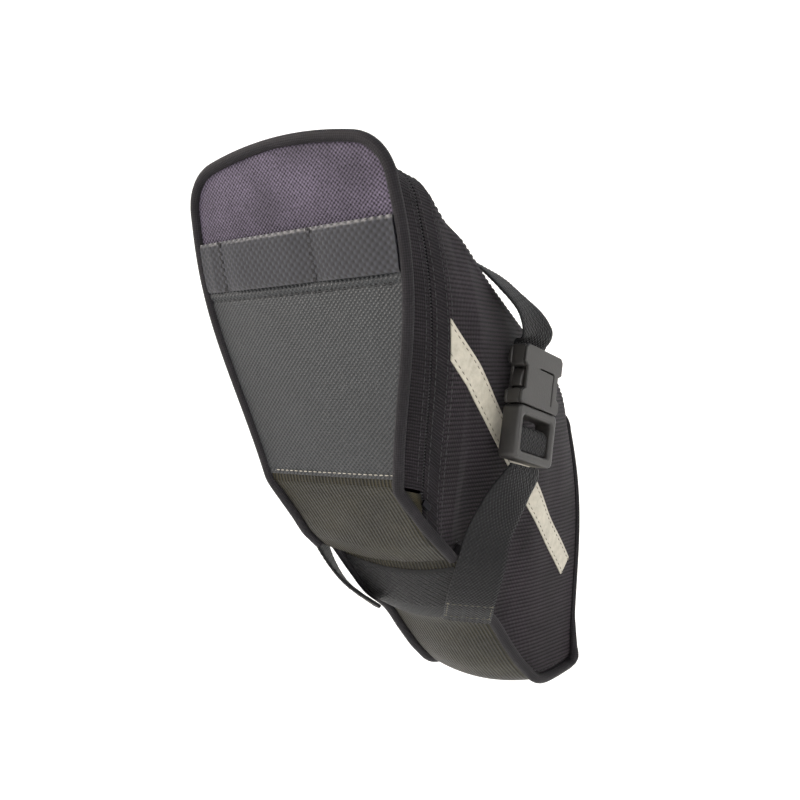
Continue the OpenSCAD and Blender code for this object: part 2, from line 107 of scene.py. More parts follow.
def roughen(tree, shader, height, distance, strength=1.0):
    """Gives a shader a bump whose full height is distance, in metres."""
    bump = add(tree, "ShaderNodeBump", {"Height": height, "Distance": distance, "Strength": strength})
    tree.links.new(bump.outputs[0], shader.inputs["Normal"])


def area_light(name, direction, distance, size, power, tint):
    light = bpy.data.lights.new(name, "AREA")
    light.size, light.energy, light.color = size, power, hex_colour(tint)[:3]
    lamp = bpy.data.objects.new(name, light)
    away = Vector(direction).normalized()
    lamp.location = BAG_MIDDLE + away * distance
    lamp.rotation_euler = away.to_track_quat("Z", "Y").to_euler()
    scene.collection.objects.link(lamp)


area_light("key", (-0.75, -1.0, 0.55), 1.2, 0.45, 11, "#fff6ee")
area_light("fill", (1.0, -0.5, 0.35), 1.3, 0.8, 1.8, "#f2f5ff")
area_light("top", (0.1, 0.2, 1.0), 1.3, 0.9, 3.0, "#eef3ff")
area_light("under", (0.2, -0.7, -0.7), 1.0, 0.9, 0.5, "#ffe9cc")

world = bpy.data.worlds.new("studio")
scene.world = world
world.use_nodes = True
world.node_tree.nodes["Background"].inputs["Color"].default_value = (1, 1, 1, 1)
world.node_tree.nodes["Background"].inputs["Strength"].default_value = 0.45

# Painted board: matt white, curving up all round into a wall
sweep_paint, _, sweep_shader = blank_material("white_painted_board")
sweep_shader.inputs["Base Color"].default_value = hex_colour("#f7f6f4")
sweep_shader.inputs["Roughness"].default_value = 0.9
sweep_shader.inputs["Emission Color"].default_value = hex_colour("#ffffff")
sweep_shader.inputs["Emission Strength"].default_value = 0.42
FLOOR_Z, FLOOR_R, CURVE_R, WALL_H = -0.42, 1.6, 0.9, 2.2
sweep_profile = [(0.02, FLOOR_Z), (FLOOR_R, FLOOR_Z)]
sweep_profile += [(FLOOR_R + CURVE_R * sin(a), FLOOR_Z + CURVE_R * (1 - cos(a)))
                  for a in np.linspace(0.1, pi / 2, 12)]
sweep_profile += [(FLOOR_R + CURVE_R, FLOOR_Z + WALL_H)]
sweep_n = 96
sweep_points = [(r * cos(tau * i / sweep_n), r * sin(tau * i / sweep_n), z)
                for r, z in sweep_profile for i in range(sweep_n)]
sweep_faces = [(j * sweep_n + i, j * sweep_n + (i + 1) % sweep_n, (j + 1) * sweep_n + (i + 1) % sweep_n,
                (j + 1) * sweep_n + i) for j in range(len(sweep_profile) - 1) for i in range(sweep_n)]
sweep_faces.append(tuple(range(sweep_n)))
sweep_mesh = bpy.data.meshes.new("sweep")
sweep_mesh.from_pydata(sweep_points, [], sweep_faces)
sweep_mesh.materials.append(sweep_paint)
sweep_mesh.shade_smooth()
sweep = bpy.data.objects.new("sweep", sweep_mesh)
scene.collection.objects.link(sweep)

# ---- Pattern of the bag -----------------------------------------------------
# The bag's skin runs through a row of cross-sections from the lid to the
# front seam, each in a plane through X. A place on it is (u, k, depth):
# u counts sections, k runs round the section from the middle of the
# underside to the middle of the top, and depth goes inwards.
LID_H, LID_LEAN = 130, radians(25)
HALF_BOTTOM, HALF_TOP, LID_CORNER = 33, 50.5, 16
GUSSET = 14
HINGE_Y, HINGE_Z = -30, -91
LID_TOP_Y = HINGE_Y - LID_H * sin(LID_LEAN)
LID_TOP_Z = HINGE_Z + LID_H * cos(LID_LEAN)
# bottom y, bottom z, top y, top z, half width at bottom, half width at top,
# side bulge, bottom corner radius, top corner radius, bottom crown, top crown
SECTIONS = np.array([
    [HINGE_Y, HINGE_Z, LID_TOP_Y, LID_TOP_Z, HALF_BOTTOM, HALF_TOP, 6, 4, LID_CORNER, 0, 4],
    [HINGE_Y + GUSSET * 1.28, -103, LID_TOP_Y + GUSSET * 1.2, LID_TOP_Z - 2,
     HALF_BOTTOM + 1.5, HALF_TOP, 6, 5, LID_CORNER - 1, 1, 4],
    [-3, -109, -58, 25, 36.5, 50.5, 7, 6, 14, 2, 4],
    [7, -114, -43, 16, 36.2, 49.5, 8, 6, 12, 3, 3],
    [10, -109.5, -32, 12, 35.6, 49.6, 8.5, 6, 10, 3, 2.5],
    [24, -122, -8, 2.4, 31.5, 47, 9, 6, 9, 4, 2],
    [36, -131, 12, -3.6, 30, 45, 9.5, 6, 9, 4, 2],
    [50, -137, 32, -8.5, 29, 42, 9.5, 6, 9, 4, 2],
    [64, -147, 50, -12.5, 29, 39, 9, 6, 9, 4, 2],
    [78, -156, 66, -17, 29.5, 36, 7.5, 7, 9, 4, 2],
    [93, -161, 80, -24, 30, 33.5, 6, 8, 9, 3, 2],
    [119, -154, 89, -34, 30.5, 31, 4, 10, 9, 2, 2]], float)
U_GUSSET, U_FOLD, U_WAIST = 2, 3, 4          # the lid is section 0 and the zip is section 1
U_FRONT = len(SECTIONS) - 1
N_FLAT, N_CORNER, N_SIDE = 3, 4, 10
K_BOTTOM = N_FLAT + N_CORNER / 2
K_SIDE = N_FLAT + N_CORNER
K_SIDE_TOP = K_SIDE + N_SIDE
K_TOP = K_SIDE_TOP + N_CORNER / 2
K_MID = 2 * K_SIDE + N_SIDE


def spline(a, b, c, d, t):
    """Catmull-Rom curve from b to c."""
    return 0.5 * (2 * b + (c - a) * t + (2 * a - 5 * b + 4 * c - d) * t ** 2
                  + (3 * b - a - 3 * c + d) * t ** 3)


def section(u):
    """Section values at every u, straight up to the waist and curved after it."""
    i = np.clip(np.floor(u).astype(int), 0, U_FRONT - 1)
    t = (u - i)[:, None]
    a, b = SECTIONS[np.maximum(i - 1, 0)], SECTIONS[i]
    c, d = SECTIONS[i + 1], SECTIONS[np.minimum(i + 2, U_FRONT)]
    return np.where((i < U_WAIST)[:, None], b + (c - b) * t, spline(a, b, c, d, t))


def ring(s, k):
    """Point k of each section: x, and the distance up the section."""
    left = (k < 0) | (k > K_MID)
    k = np.abs(k)
    k = np.where(k > K_MID, 2 * K_MID - k, k)
    wb, wt, bulge, rb, rt, cb, ct = s[:, 4:11].T
    high = np.hypot(s[:, 2] - s[:, 0], s[:, 3] - s[:, 1])
    ab, at = np.arctan(2 * cb / (wb - rb)), np.arctan(2 * ct / (wt - rt))
    xb, xt = wb - rb + rb * np.sin(ab), wt - rt + rt * np.sin(at)
    vb, vt = rb * np.cos(ab), high - ct - rt * np.cos(at)
    x1 = xb * k / N_FLAT
    a2 = ab + (pi / 2 - ab) * (k - N_FLAT) / N_CORNER
    f3 = np.clip((k - K_SIDE) / N_SIDE, 0, 1)
    a4 = (pi / 2 - at) * (k - K_SIDE_TOP) / N_CORNER
    x5 = xt * (K_MID - k) / N_FLAT
    where = [k <= N_FLAT, k <= K_SIDE, k <= K_SIDE_TOP, k <= K_MID - N_FLAT]
    x = np.select(where, [x1, wb - rb + rb * np.sin(a2), wb + (wt - wb) * f3 + bulge * np.sin(pi * f3 ** 1.5),
                          wt - rt + rt * np.cos(a4)], x5)
    v = np.select(where, [-cb * (1 - (x1 / xb) ** 2), vb - rb * np.cos(a2), vb + (vt - vb) * f3,
                          vt + rt * np.sin(a4)], high - ct * (x5 / xt) ** 2)
    return np.where(left, -x, x), v


def softness(u, k):
    """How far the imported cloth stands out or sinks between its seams."""
    k = np.abs(k)
    across = np.clip((k - K_BOTTOM) / (K_TOP - K_BOTTOM), 0, 1)
    fade = np.sin(pi * across) * np.sin(pi * np.clip((u - U_GUSSET) / (U_FRONT - U_GUSSET), 0, 1))
    walls = fade * (0.45 * np.sin(2.1 * u + 0.9 * k) + 0.35 * np.sin(1.3 * u - 1.7 * k + 1))
    pillow = np.cos(pi / 2 * np.clip(k / K_BOTTOM, 0, 1)) * np.abs(np.sin(pi * np.clip(u / U_FOLD, 0, 1)))
    folds = 1 + 0.25 * np.sin(3.0 * u + 1.3 * k) + 0.2 * np.sin(1.1 * u - 2.2 * k)
    return walls + 1.7 * pillow * folds


def skin(u, k, depth=0.0):
    """Points of the skin, one for each u and k."""
    u, k, depth = (a.astype(float) for a in np.broadcast_arrays(u, k, depth))
    shape = u.shape
    u, k, depth = u.ravel(), k.ravel(), depth.ravel()
    depth = depth - softness(u, k)
    s = section(u)
    x, v = ring(s, k)
    xa, va = ring(s, k - 0.4)
    xb, vb = ring(s, k + 0.4)
    tx, tv = xb - xa, vb - va
    size = np.hypot(tx, tv)
    x, v = x - depth * tv / size, v + depth * tx / size
    high = np.hypot(s[:, 2] - s[:, 0], s[:, 3] - s[:, 1])
    dy, dz = (s[:, 2] - s[:, 0]) / high, (s[:, 3] - s[:, 1]) / high
    return np.stack([x, s[:, 0] + dy * v, s[:, 1] + dz * v], -1).reshape(*shape, 3)


def run(points):
    """Distance along a row of points."""
    return np.concatenate([[0], np.cumsum(np.linalg.norm(np.diff(points, axis=0), axis=1))])


def steps(start, stop, size):
    """Evenly spaced values from start to stop, no further apart than size."""
    return np.linspace(start, stop, max(2, int(np.ceil(abs(stop - start) / size)) + 1))


# ---- Making a piece ---------------------------------------------------------
# Every cloth piece carries a UV map called "cloth" in millimetres: its first
# number runs along the cloth's ribs or the strap, its second across them.
def piece(name, points, faces, material, body, nodes=(), cloth=None, sharp=40):
    mesh = bpy.data.meshes.new(name)
    mesh.from_pydata((np.asarray(points, float) * MM).tolist(), [], faces)
    mesh.materials.append(material)
    if cloth is not None:
        corners = np.zeros(len(mesh.loops), int)
        mesh.loops.foreach_get("vertex_index", corners)
        layer = mesh.uv_layers.new(name="cloth")
        layer.data.foreach_set("uv", np.asarray(cloth, np.float32)[corners].ravel())
    mesh.shade_smooth()
    mesh.set_sharp_from_angle(angle=radians(sharp))
    made = bpy.data.objects.new(name, mesh)
    scene.collection.objects.link(made)
    return fit(made, body, nodes)


def fit(made, body, nodes=()):
    """Ties a finished piece to its body and the plain nodes it stands for."""
    if body:
        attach(made, body)
    if nodes:
        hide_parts(*nodes)
    return made


def two_sided(front, back, cloth):
    """A closed sheet: points, faces and cloth coordinates from two grids."""
    n, m = front.shape[:2]
    points = np.concatenate([front.reshape(-1, 3), back.reshape(-1, 3)])
    faces = []
    for i in range(n - 1):
        for j in range(m - 1):
            a = i * m + j
            faces.append((a, a + 1, a + m + 1, a + m))
            faces.append((n * m + a, n * m + a + m, n * m + a + m + 1, n * m + a + 1))
    edge = [j for j in range(m)] + [i * m + m - 1 for i in range(1, n)]
    edge += [(n - 1) * m + j for j in range(m - 2, -1, -1)] + [i * m for i in range(n - 2, 0, -1)]
    for i, a in enumerate(edge):
        b = edge[(i + 1) % len(edge)]
        faces.append((b, a, n * m + a, n * m + b))
    flat = np.asarray(cloth).reshape(-1, 2)
    return points, faces, np.concatenate([flat, flat])


def both_ways(side):
    """The names' ending and the mirror factor of a side, 1 right and -1 left."""
    return ("right" if side > 0 else "left"), np.array([side, 1, 1])


def flipped(faces):
    """The same faces, seen from their other side."""
    return [tuple(reversed(f)) for f in faces]


def mirrored(faces, side):
    return faces if side > 0 else flipped(faces)


# ---- Cloths -----------------------------------------------------------------
def woven(name, low, high, rib, thread, staggered=False, relief=0.15, rough=0.8, gloss=0.2, sheen=0.03,
          uneven=0.5, blotch=0.25):
    """A cloth whose ribs are rib mm apart and crossing threads thread mm apart."""
    material, tree, shader = blank_material(name)
    place = add(tree, "ShaderNodeUVMap", uv_map="cloth")
    phase = add(tree, "ShaderNodeVectorMath", {0: place.outputs[0], 1: (tau / thread, tau / rib, 0)},
                operation="MULTIPLY")
    axes = add(tree, "ShaderNodeSeparateXYZ", {0: phase.outputs[0]})
    warp = add(tree, "ShaderNodeMath", {0: axes.outputs[0]}, operation="SINE")
    weft = add(tree, "ShaderNodeMath", {0: axes.outputs[1]}, operation="SINE")
    if staggered:
        wave = add(tree, "ShaderNodeMath", {0: warp.outputs[0], 1: weft.outputs[0]}, operation="MULTIPLY")
    else:
        wave = add(tree, "ShaderNodeMath", {0: warp.outputs[0], 1: 0.3, 2: weft.outputs[0]},
                   operation="MULTIPLY_ADD")
    fibres = add(tree, "ShaderNodeTexNoise", {"Vector": place.outputs[0], "Scale": 0.9, "Detail": 2.0},
                 noise_dimensions="2D")
    spread = add(tree, "ShaderNodeMath", {0: fibres.outputs[0], 1: uneven * 2, 2: -uneven},
                 operation="MULTIPLY_ADD")
    height = add(tree, "ShaderNodeMath", {0: wave.outputs[0], 1: spread.outputs[0]}, operation="ADD")
    level = add(tree, "ShaderNodeMapRange", {"Value": height.outputs[0], "From Min": -1.1, "From Max": 1.1})
    cloud = add(tree, "ShaderNodeTexNoise", {"Vector": place.outputs[0], "Scale": 0.045, "Detail": 3.0},
                noise_dimensions="2D")
    shade = add(tree, "ShaderNodeMapRange", {"Value": cloud.outputs[0], "From Min": 0.3, "From Max": 0.7,
                                             "To Min": 1 - blotch, "To Max": 1 + blotch})
    yarn = add(tree, "ShaderNodeMix", {"Factor": level.outputs[0], 6: hex_colour(low), 7: hex_colour(high)},
               data_type="RGBA")
    colour = add(tree, "ShaderNodeVectorMath", {0: yarn.outputs[2], "Scale": shade.outputs[0]},
                 operation="SCALE")
    tree.links.new(colour.outputs[0], shader.inputs["Base Color"])
    roughen(tree, shader, level.outputs[0], relief * MM)
    shader.inputs["Roughness"].default_value = rough
    shader.inputs["Specular IOR Level"].default_value = gloss
    shader.inputs["Sheen Weight"].default_value = sheen
    shader.inputs["Sheen Roughness"].default_value = 0.5
    return material


# Solution-dyed polyester in a rib weave: brown-black, dull, ribs 1.7 mm apart
ribbed_polyester = woven("ribbed_polyester", "#080608", "#2c262b", 1.7, 0.9, relief=0.4)
RIB_RISE = radians(14)                       # the ribs rise this much to the front
FABRIC_T = 0.9


def side_cloth(points):
    """Ribs run forwards along the side, rising a little."""
    y, z = points[..., 1], points[..., 2]
    return np.stack([y * cos(RIB_RISE) + z * sin(RIB_RISE), z * cos(RIB_RISE) - y * sin(RIB_RISE)], -1)


def along_cloth(points):
    """Ribs run along the bag, beside each other in X."""
    return np.stack([points[..., 1] - points[..., 2], points[..., 0]], -1)


def panel(name, us, ks, material, cloth, body="bag", depth=0.0, thick=FABRIC_T, nodes=None):
    """A sheet of the skin between the given stations and ring places."""
    u, k = np.meshgrid(us, ks, indexing="ij")
    front = skin(u, k, depth)
    points, faces, flat = two_sided(front, skin(u, k, depth + thick), cloth(front))
    return piece(name, points, faces, material, body, [name] if nodes is None else nodes, flat)


# ---- Side, top and front panels ---------------------------------------------
# Cut from ribbed polyester and sewn edge to edge into a tapering tube. They
# start at the gusset's seam and end in the front seam.
for side in (1, -1):
    word, _ = both_ways(side)
    edge = side * steps(K_BOTTOM, K_TOP, 0.25)
    if side < 0:
        edge = edge[::-1]
    panel(f"side_panel_{word}", steps(U_GUSSET, U_FRONT, 0.1), edge, ribbed_polyester,
          side_cloth)
panel("top_panel", steps(U_GUSSET, U_FRONT, 0.1), steps(K_TOP, 2 * K_MID - K_TOP, 0.25), ribbed_polyester,
      lambda p: np.stack([p[..., 0], p[..., 1]], -1))

# Front panel: one piece, domed by the load behind it
FRONT_DOME = 4
front_low, front_high = SECTIONS[U_FRONT][0:2], SECTIONS[U_FRONT][2:4]
front_up = np.array([0, *(front_high - front_low)]) / np.linalg.norm(front_high - front_low)
front_out = np.array([0, front_up[2], -front_up[1]])
front_mid = np.array([0, *(front_low + front_high) / 2])
front_k = np.arange(0, 2 * K_MID, 0.5)
front_rim = skin(np.full(len(front_k), float(U_FRONT)), front_k)
front_points, front_faces = [], []
front_shares = np.linspace(1, 0.04, 24)
for lift in (FABRIC_T, 0.0):
    for share in front_shares:
        dome = front_out * (FRONT_DOME * (1 - share ** 3) + lift)
        front_points.append(front_mid + (front_rim - front_mid) * share + dome)
front_points = np.concatenate(front_points)
n_rim, n_share = len(front_k), len(front_shares)
for layer in (0, 1):
    for i in range(n_share - 1):
        for j in range(n_rim):
            a, b = (layer * n_share + i) * n_rim + j, (layer * n_share + i) * n_rim + (j + 1) % n_rim
            quad = (a, b, b + n_rim, a + n_rim)
            front_faces.append(quad if layer == 0 else tuple(reversed(quad)))
    inner = (layer * n_share + n_share - 1) * n_rim
    cap = tuple(inner + j for j in range(n_rim))
    front_faces.append(cap if layer == 0 else tuple(reversed(cap)))
for j in range(n_rim):
    a, b = j, (j + 1) % n_rim
    front_faces.append((a, n_share * n_rim + a, n_share * n_rim + b, b))
front_cloth = np.stack([front_points[:, 0], front_points[:, 2]], -1)
piece("front_panel", front_points, front_faces, ribbed_polyester, "bag", ["front_panel"],
      front_cloth)

# ---- Belly panel and lobe ---------------------------------------------------
# Coated polyester with a fine raised rib, faintly shiny. Its olive-brown tint is
# painted warm light, bounced up from below. The lobe closes the gusset under
# the lid and turns up over the lid's fold.
coated_rib = woven("coated_ribbed_polyester", "#0a0905", "#2e2a1c", 1.8, 1.1, relief=0.35, rough=0.5,
                   gloss=0.16)
panel("belly_panel", steps(U_FOLD, U_FRONT, 0.1), steps(-K_BOTTOM, K_BOTTOM, 0.25), coated_rib,
      along_cloth)

U_PARTING = 0.95                             # where the lid's half of the gusset ends


def fold_k(u, above):
    """Ring place where the side of section u crosses a height above the lid's fold."""
    ks = np.linspace(K_BOTTOM - 1, K_SIDE + 6, 300)
    found = [np.interp(HINGE_Z + above, skin(np.full(300, x), ks)[:, 2], ks) for x in u]
    return np.maximum(found, K_BOTTOM + 0.5)


lobe_us = np.concatenate([steps(0, U_PARTING, 0.1), steps(1, U_FOLD, 0.1)])
lobe_reach = np.where(lobe_us < 1, fold_k(lobe_us, -0.15), K_BOTTOM + 1)
lobe_f = steps(-1, 1, 0.03)
lobe_u = np.repeat(lobe_us[:, None], len(lobe_f), 1)
lobe_k = lobe_reach[:, None] * lobe_f[None, :]
lobe_front = skin(lobe_u, lobe_k)
lobe_front[..., 2] = np.minimum(lobe_front[..., 2], HINGE_Z)
lobe_back = skin(lobe_u, lobe_k, FABRIC_T)
lobe_back[..., 2] = np.minimum(lobe_back[..., 2], HINGE_Z + 0.1)
lobe_points, lobe_faces, lobe_flat = two_sided(lobe_front, lobe_back, along_cloth(lobe_front))
piece("lobe_panel", lobe_points, lobe_faces, coated_rib, "bag", ["lobe_panel"], lobe_flat)

# ---- Piping -----------------------------------------------------------------
# A 3.5 mm cord in a bias-cut sleeve, sewn into the lid's edge, the lobe's
# edge and the lower and front seams.
bias_tape = woven("bias_cut_tape", "#070607", "#232024", 1.3, 1.3, staggered=True, relief=0.12, rough=0.7)
PIPING_R = 2.2
PIPING_OUT = PIPING_R + 0.05


def tube(path, radius, aside, sides=16, squeeze=1.0):
    """Closed tube along a path: points, faces and cloth coordinates."""
    radius = np.broadcast_to(radius, len(path))[:, None]
    tangents = np.gradient(path, axis=0)
    tangents /= np.linalg.norm(tangents, axis=1)[:, None]
    a = np.cross(tangents, aside)
    a /= np.linalg.norm(a, axis=1)[:, None]
    b = np.cross(tangents, a)
    turns = np.arange(sides) * tau / sides
    rings = (path[:, None] + radius[..., None] * (a[:, None] * np.cos(turns)[None, :, None] * squeeze
                                       + b[:, None] * np.sin(turns)[None, :, None]))
    n = len(path)
    faces = [tuple(range(sides)), tuple(range(n * sides - 1, (n - 1) * sides - 1, -1))]
    for i in range(n - 1):
        for j in range(sides):
            p, q = i * sides + j, i * sides + (j + 1) % sides
            faces.append((p, p + sides, q + sides, q))
    far = run(path)
    cloth = np.stack(np.broadcast_arrays(far[:, None], turns * radius), -1).reshape(-1, 2)
    bias = np.stack([cloth[:, 0] + cloth[:, 1], cloth[:, 0] - cloth[:, 1]], -1) * 0.707
    return rings.reshape(-1, 3), faces, bias


for side in (1, -1):
    word, flip = both_ways(side)
    low_u, front_ring = steps(3.25, U_FRONT - 0.15, 0.1), steps(K_BOTTOM + 0.4, K_TOP, 0.2)
    # The cord ends at the lower corner; above it the empty sleeve lies flat
    slim = np.clip((front_ring - K_SIDE + 1) / 2.5, 0, 1)
    path = np.concatenate([skin(low_u, np.full(len(low_u), K_BOTTOM), -PIPING_OUT),
                           skin(np.full(len(front_ring), float(U_FRONT)), front_ring,
                                1.9 * slim - PIPING_OUT)])
    radii = PIPING_R * np.concatenate([np.ones(len(low_u)), 1 - 0.45 * slim])
    points, faces, cloth = tube(path, radii, (1, 0, 0))
    piece(f"seam_piping_{word}", points * flip, mirrored(faces, side), bias_tape, "bag",
          [f"seam_piping_{word}"], cloth)

# ---- Stitching --------------------------------------------------------------
# Bonded polyester thread, about 0.5 mm thick, laid by a lockstitch machine.
def thread_material(name, tint):
    material, tree, shader, _, twist = mottled(name, "#0c0b0c", tint, 1500, 0.6)
    roughen(tree, shader, twist, 0.0001)
    return material


black_thread = thread_material("black_bonded_thread", "#2c2a2d")
grey_thread = thread_material("grey_bonded_thread", "#8a857a")
olive_thread = thread_material("olive_bonded_thread", "#77725f")
pale_thread = thread_material("pale_bonded_thread", "#cfc9bb")


def repeat_tree(name):
    """Geometry Nodes: one small shape set along a line at an even spacing."""
    tree = bpy.data.node_groups.new(name, "GeometryNodeTree")
    face = tree.interface
    sockets = {}
    face.new_socket("Line", in_out="INPUT", socket_type="NodeSocketGeometry")
    for label, kind in (("Spacing", "NodeSocketFloat"), ("Length", "NodeSocketFloat"),
                        ("Thickness", "NodeSocketFloat"), ("Material", "NodeSocketMaterial")):
        sockets[label] = face.new_socket(label, in_out="INPUT", socket_type=kind).identifier
    face.new_socket("Row", in_out="OUTPUT", socket_type="NodeSocketGeometry")
    start = add(tree, "NodeGroupInput")
    line = add(tree, "GeometryNodeMeshToCurve", {0: start.outputs["Line"]})
    even = add(tree, "GeometryNodeResampleCurve",
               {"Curve": line.outputs[0], "Length": start.outputs["Spacing"]}, mode="LENGTH")
    shape = add(tree, "GeometryNodeMeshUVSphere", {"Segments": 6, "Rings": 5, "Radius": 0.5})
    size = add(tree, "ShaderNodeCombineXYZ", {"X": start.outputs["Thickness"], "Y": start.outputs["Thickness"],
                                              "Z": start.outputs["Length"]})
    sized = add(tree, "GeometryNodeTransform", {"Geometry": shape.outputs[0], "Scale": size.outputs[0]})
    way = add(tree, "GeometryNodeInputTangent")
    turn = add(tree, "FunctionNodeAlignRotationToVector", {"Vector": way.outputs[0]}, axis="Z")
    laid = add(tree, "GeometryNodeInstanceOnPoints", {"Points": even.outputs[0], "Instance": sized.outputs[0],
                                                      "Rotation": turn.outputs[0]})
    real = add(tree, "GeometryNodeRealizeInstances", {0: laid.outputs[0]})
    painted = add(tree, "GeometryNodeSetMaterial", {"Geometry": real.outputs[0],
                                                    "Material": start.outputs["Material"]})
    smooth = add(tree, "GeometryNodeSetShadeSmooth", {0: painted.outputs[0]})
    add(tree, "NodeGroupOutput", {0: smooth.outputs[0]})
    return tree, sockets


row_tree, row_sockets = repeat_tree("row_of_stitches")


def row_of(name, lines, spacing, length, thickness, material, body):
    """Small shapes, such as stitches, along one or more lines, as one plain mesh."""
    points, edges = [], []
    for line in lines:
        edges += [(len(points) + i, len(points) + i + 1) for i in range(len(line) - 1)]
        points += (np.asarray(line) * MM).tolist()
    mesh = bpy.data.meshes.new(name + "_line")
    mesh.from_pydata(points, edges, [])
    source = bpy.data.objects.new(name + "_line", mesh)
    scene.collection.objects.link(source)
    maker = source.modifiers.new("row", "NODES")
    maker.node_group = row_tree
    for label, value in (("Spacing", spacing * MM), ("Length", length * MM), ("Thickness", thickness * MM),
                         ("Material", material)):
        maker[row_sockets[label]] = value
    evaluated = source.evaluated_get(bpy.context.evaluated_depsgraph_get())
    made = bpy.data.objects.new(name, bpy.data.meshes.new_from_object(evaluated))
    bpy.data.objects.remove(source)
    scene.collection.objects.link(made)
    return fit(made, body)


STITCH, STITCH_GAP, THREAD = 2.2, 3.0, 0.55
panel_rows = []
for side in (1, -1):
    seam_u = steps(U_GUSSET + 0.12, U_FRONT - 0.3, 0.1)
    panel_rows.append(skin(seam_u, np.full(len(seam_u), side * (K_TOP - 0.6)), -0.1))
    panel_rows.append(skin(seam_u[8:], np.full(len(seam_u[8:]), side * (K_BOTTOM + 0.9)), -0.1))
    seam_k = side * steps(K_SIDE, K_TOP, 0.25)
    panel_rows.append(skin(np.full(len(seam_k), U_GUSSET + 0.18), seam_k, -0.1))
row_of("panel_stitches", panel_rows, STITCH_GAP, STITCH, THREAD, black_thread, "bag")

# ---- Reflective tape --------------------------------------------------------
# Glass-bead tape on a cloth backing, warm grey with a fine crackle, sewn to
# each side along both edges.
tape_material, tree, shader, place, _ = mottled("glass_bead_reflective_tape", "#8f8a7d", "#c6c0b0", 350, 0.5,
                                                detail=4.0)
crackle = add(tree, "ShaderNodeTexVoronoi", {"Vector": place, "Scale": 900.0}, feature="DISTANCE_TO_EDGE")
roughen(tree, shader, crackle.outputs[0], 0.0002, strength=0.5)
TAPE_W, TAPE_DROP, TAPE_LIFT = 10, radians(29.5), 0.35
TAPE_Y, TAPE_Z = -40, -25.5


def on_side_plane(y, z):
    """Skin place (u, k) on the right side whose y and z are these."""
    u = np.full(len(y), 4.0)
    k = np.full(len(y), (K_SIDE + K_SIDE_TOP) / 2)
    for _ in range(60):
        here = skin(u, k)
        du, dk = skin(u + 0.01, k) - here, skin(u, k + 0.01) - here
        a, b, c, d = du[:, 1], dk[:, 1], du[:, 2], dk[:, 2]
        ey, ez = y - here[:, 1], z - here[:, 2]
        size = a * d - b * c
        u = np.clip(u + 0.5 * 0.01 * (d * ey - b * ez) / size, U_GUSSET + 0.02, U_FRONT - 0.02)
        k = np.clip(k + 0.5 * 0.01 * (a * ez - c * ey) / size, 3, K_MID - 1)
    return u, k


tape_l = 158
tape_down = steps(0.2, TAPE_W - 0.2, 1.6)
seam_k = steps(K_SIDE, K_SIDE_TOP, 0.05)
seam = skin(np.full(len(seam_k), U_GUSSET + 0.04), seam_k)
seam_down = -(seam[:, 1] - TAPE_Y) * sin(TAPE_DROP) - (seam[:, 2] - TAPE_Z) * cos(TAPE_DROP)
seam_far = (seam[:, 1] - TAPE_Y) * cos(TAPE_DROP) - (seam[:, 2] - TAPE_Z) * sin(TAPE_DROP)
rear_end = np.interp(tape_down, seam_down[::-1], seam_far[::-1])    # cut along the gusset's seam
share = steps(0, 1, 0.013)
far = rear_end[None] + (tape_l - rear_end[None]) * share[:, None]
down = np.broadcast_to(tape_down[None], far.shape)
tape_y = TAPE_Y + far * cos(TAPE_DROP) - down * sin(TAPE_DROP)
tape_z = TAPE_Z - far * sin(TAPE_DROP) - down * cos(TAPE_DROP)
tape_u, tape_k = on_side_plane(tape_y.ravel(), tape_z.ravel())
tape_u, tape_k = tape_u.reshape(far.shape), tape_k.reshape(far.shape)
for side in (1, -1):
    word, flip = both_ways(side)
    front, back = skin(tape_u, tape_k, -TAPE_LIFT - 0.1), skin(tape_u, tape_k, 0.1)
    points, faces, cloth = two_sided(front, back, np.stack([far, down], -1))
    piece(f"reflective_tape_{word}", points * flip, mirrored(faces, -side), tape_material, "bag",
          [f"reflective_tape_{word}"], cloth)
    rows = [skin(tape_u[:, j], tape_k[:, j], -TAPE_LIFT - 0.15) * flip for j in (1, len(tape_down) - 2)]
    row_of(f"tape_stitches_{word}", rows, 3.2, 1.9, 0.4, grey_thread, "bag")

# ---- Gusset and zip ---------------------------------------------------------
# Two woven tapes meet at a coil zip sewn in reverse, so that only a thin line
# with the backs of its teeth shows. One tape opens with the lid.
gusset_cloth = woven("plain_woven_polyester_tape", "#080708", "#252025", 1.3, 1.1, relief=0.3, rough=0.85)
coil_nylon = mottled("nylon_coil_monofilament", "#0a0a0b", "#242326", 700, 0.35)[0]


def gusset(name, us, low_k, body, thick=FABRIC_T):
    share = steps(0, 1, 0.012)
    u = np.repeat(us[:, None], len(share), 1)
    k = low_k[:, None] + (2 * K_MID - 2 * low_k[:, None]) * share[None]
    front = skin(u, k)
    far = run(front[len(us) // 2])
    cloth = np.stack(np.broadcast_arrays((us * GUSSET)[:, None], far[None]), -1)
    points, faces, flat = two_sided(front, skin(u, k, thick), cloth)
    return piece(name, points, faces, gusset_cloth, body, [name], flat)


LID_EDGE_U, BODY_EDGE_U = 0.965, 1.06
lid_us, body_us = steps(0.03, LID_EDGE_U, 0.12), steps(BODY_EDGE_U, U_GUSSET, 0.12)
gusset("lid_tape", lid_us, fold_k(lid_us, 1.1), "lid")
gusset("body_tape", body_us, np.full(len(body_us), K_BOTTOM + 1.0), "bag")


def gusset_line(u, depth, low_k):
    k = steps(low_k, 2 * K_MID - low_k, 0.2)
    return skin(np.full(len(k), u), k, depth)


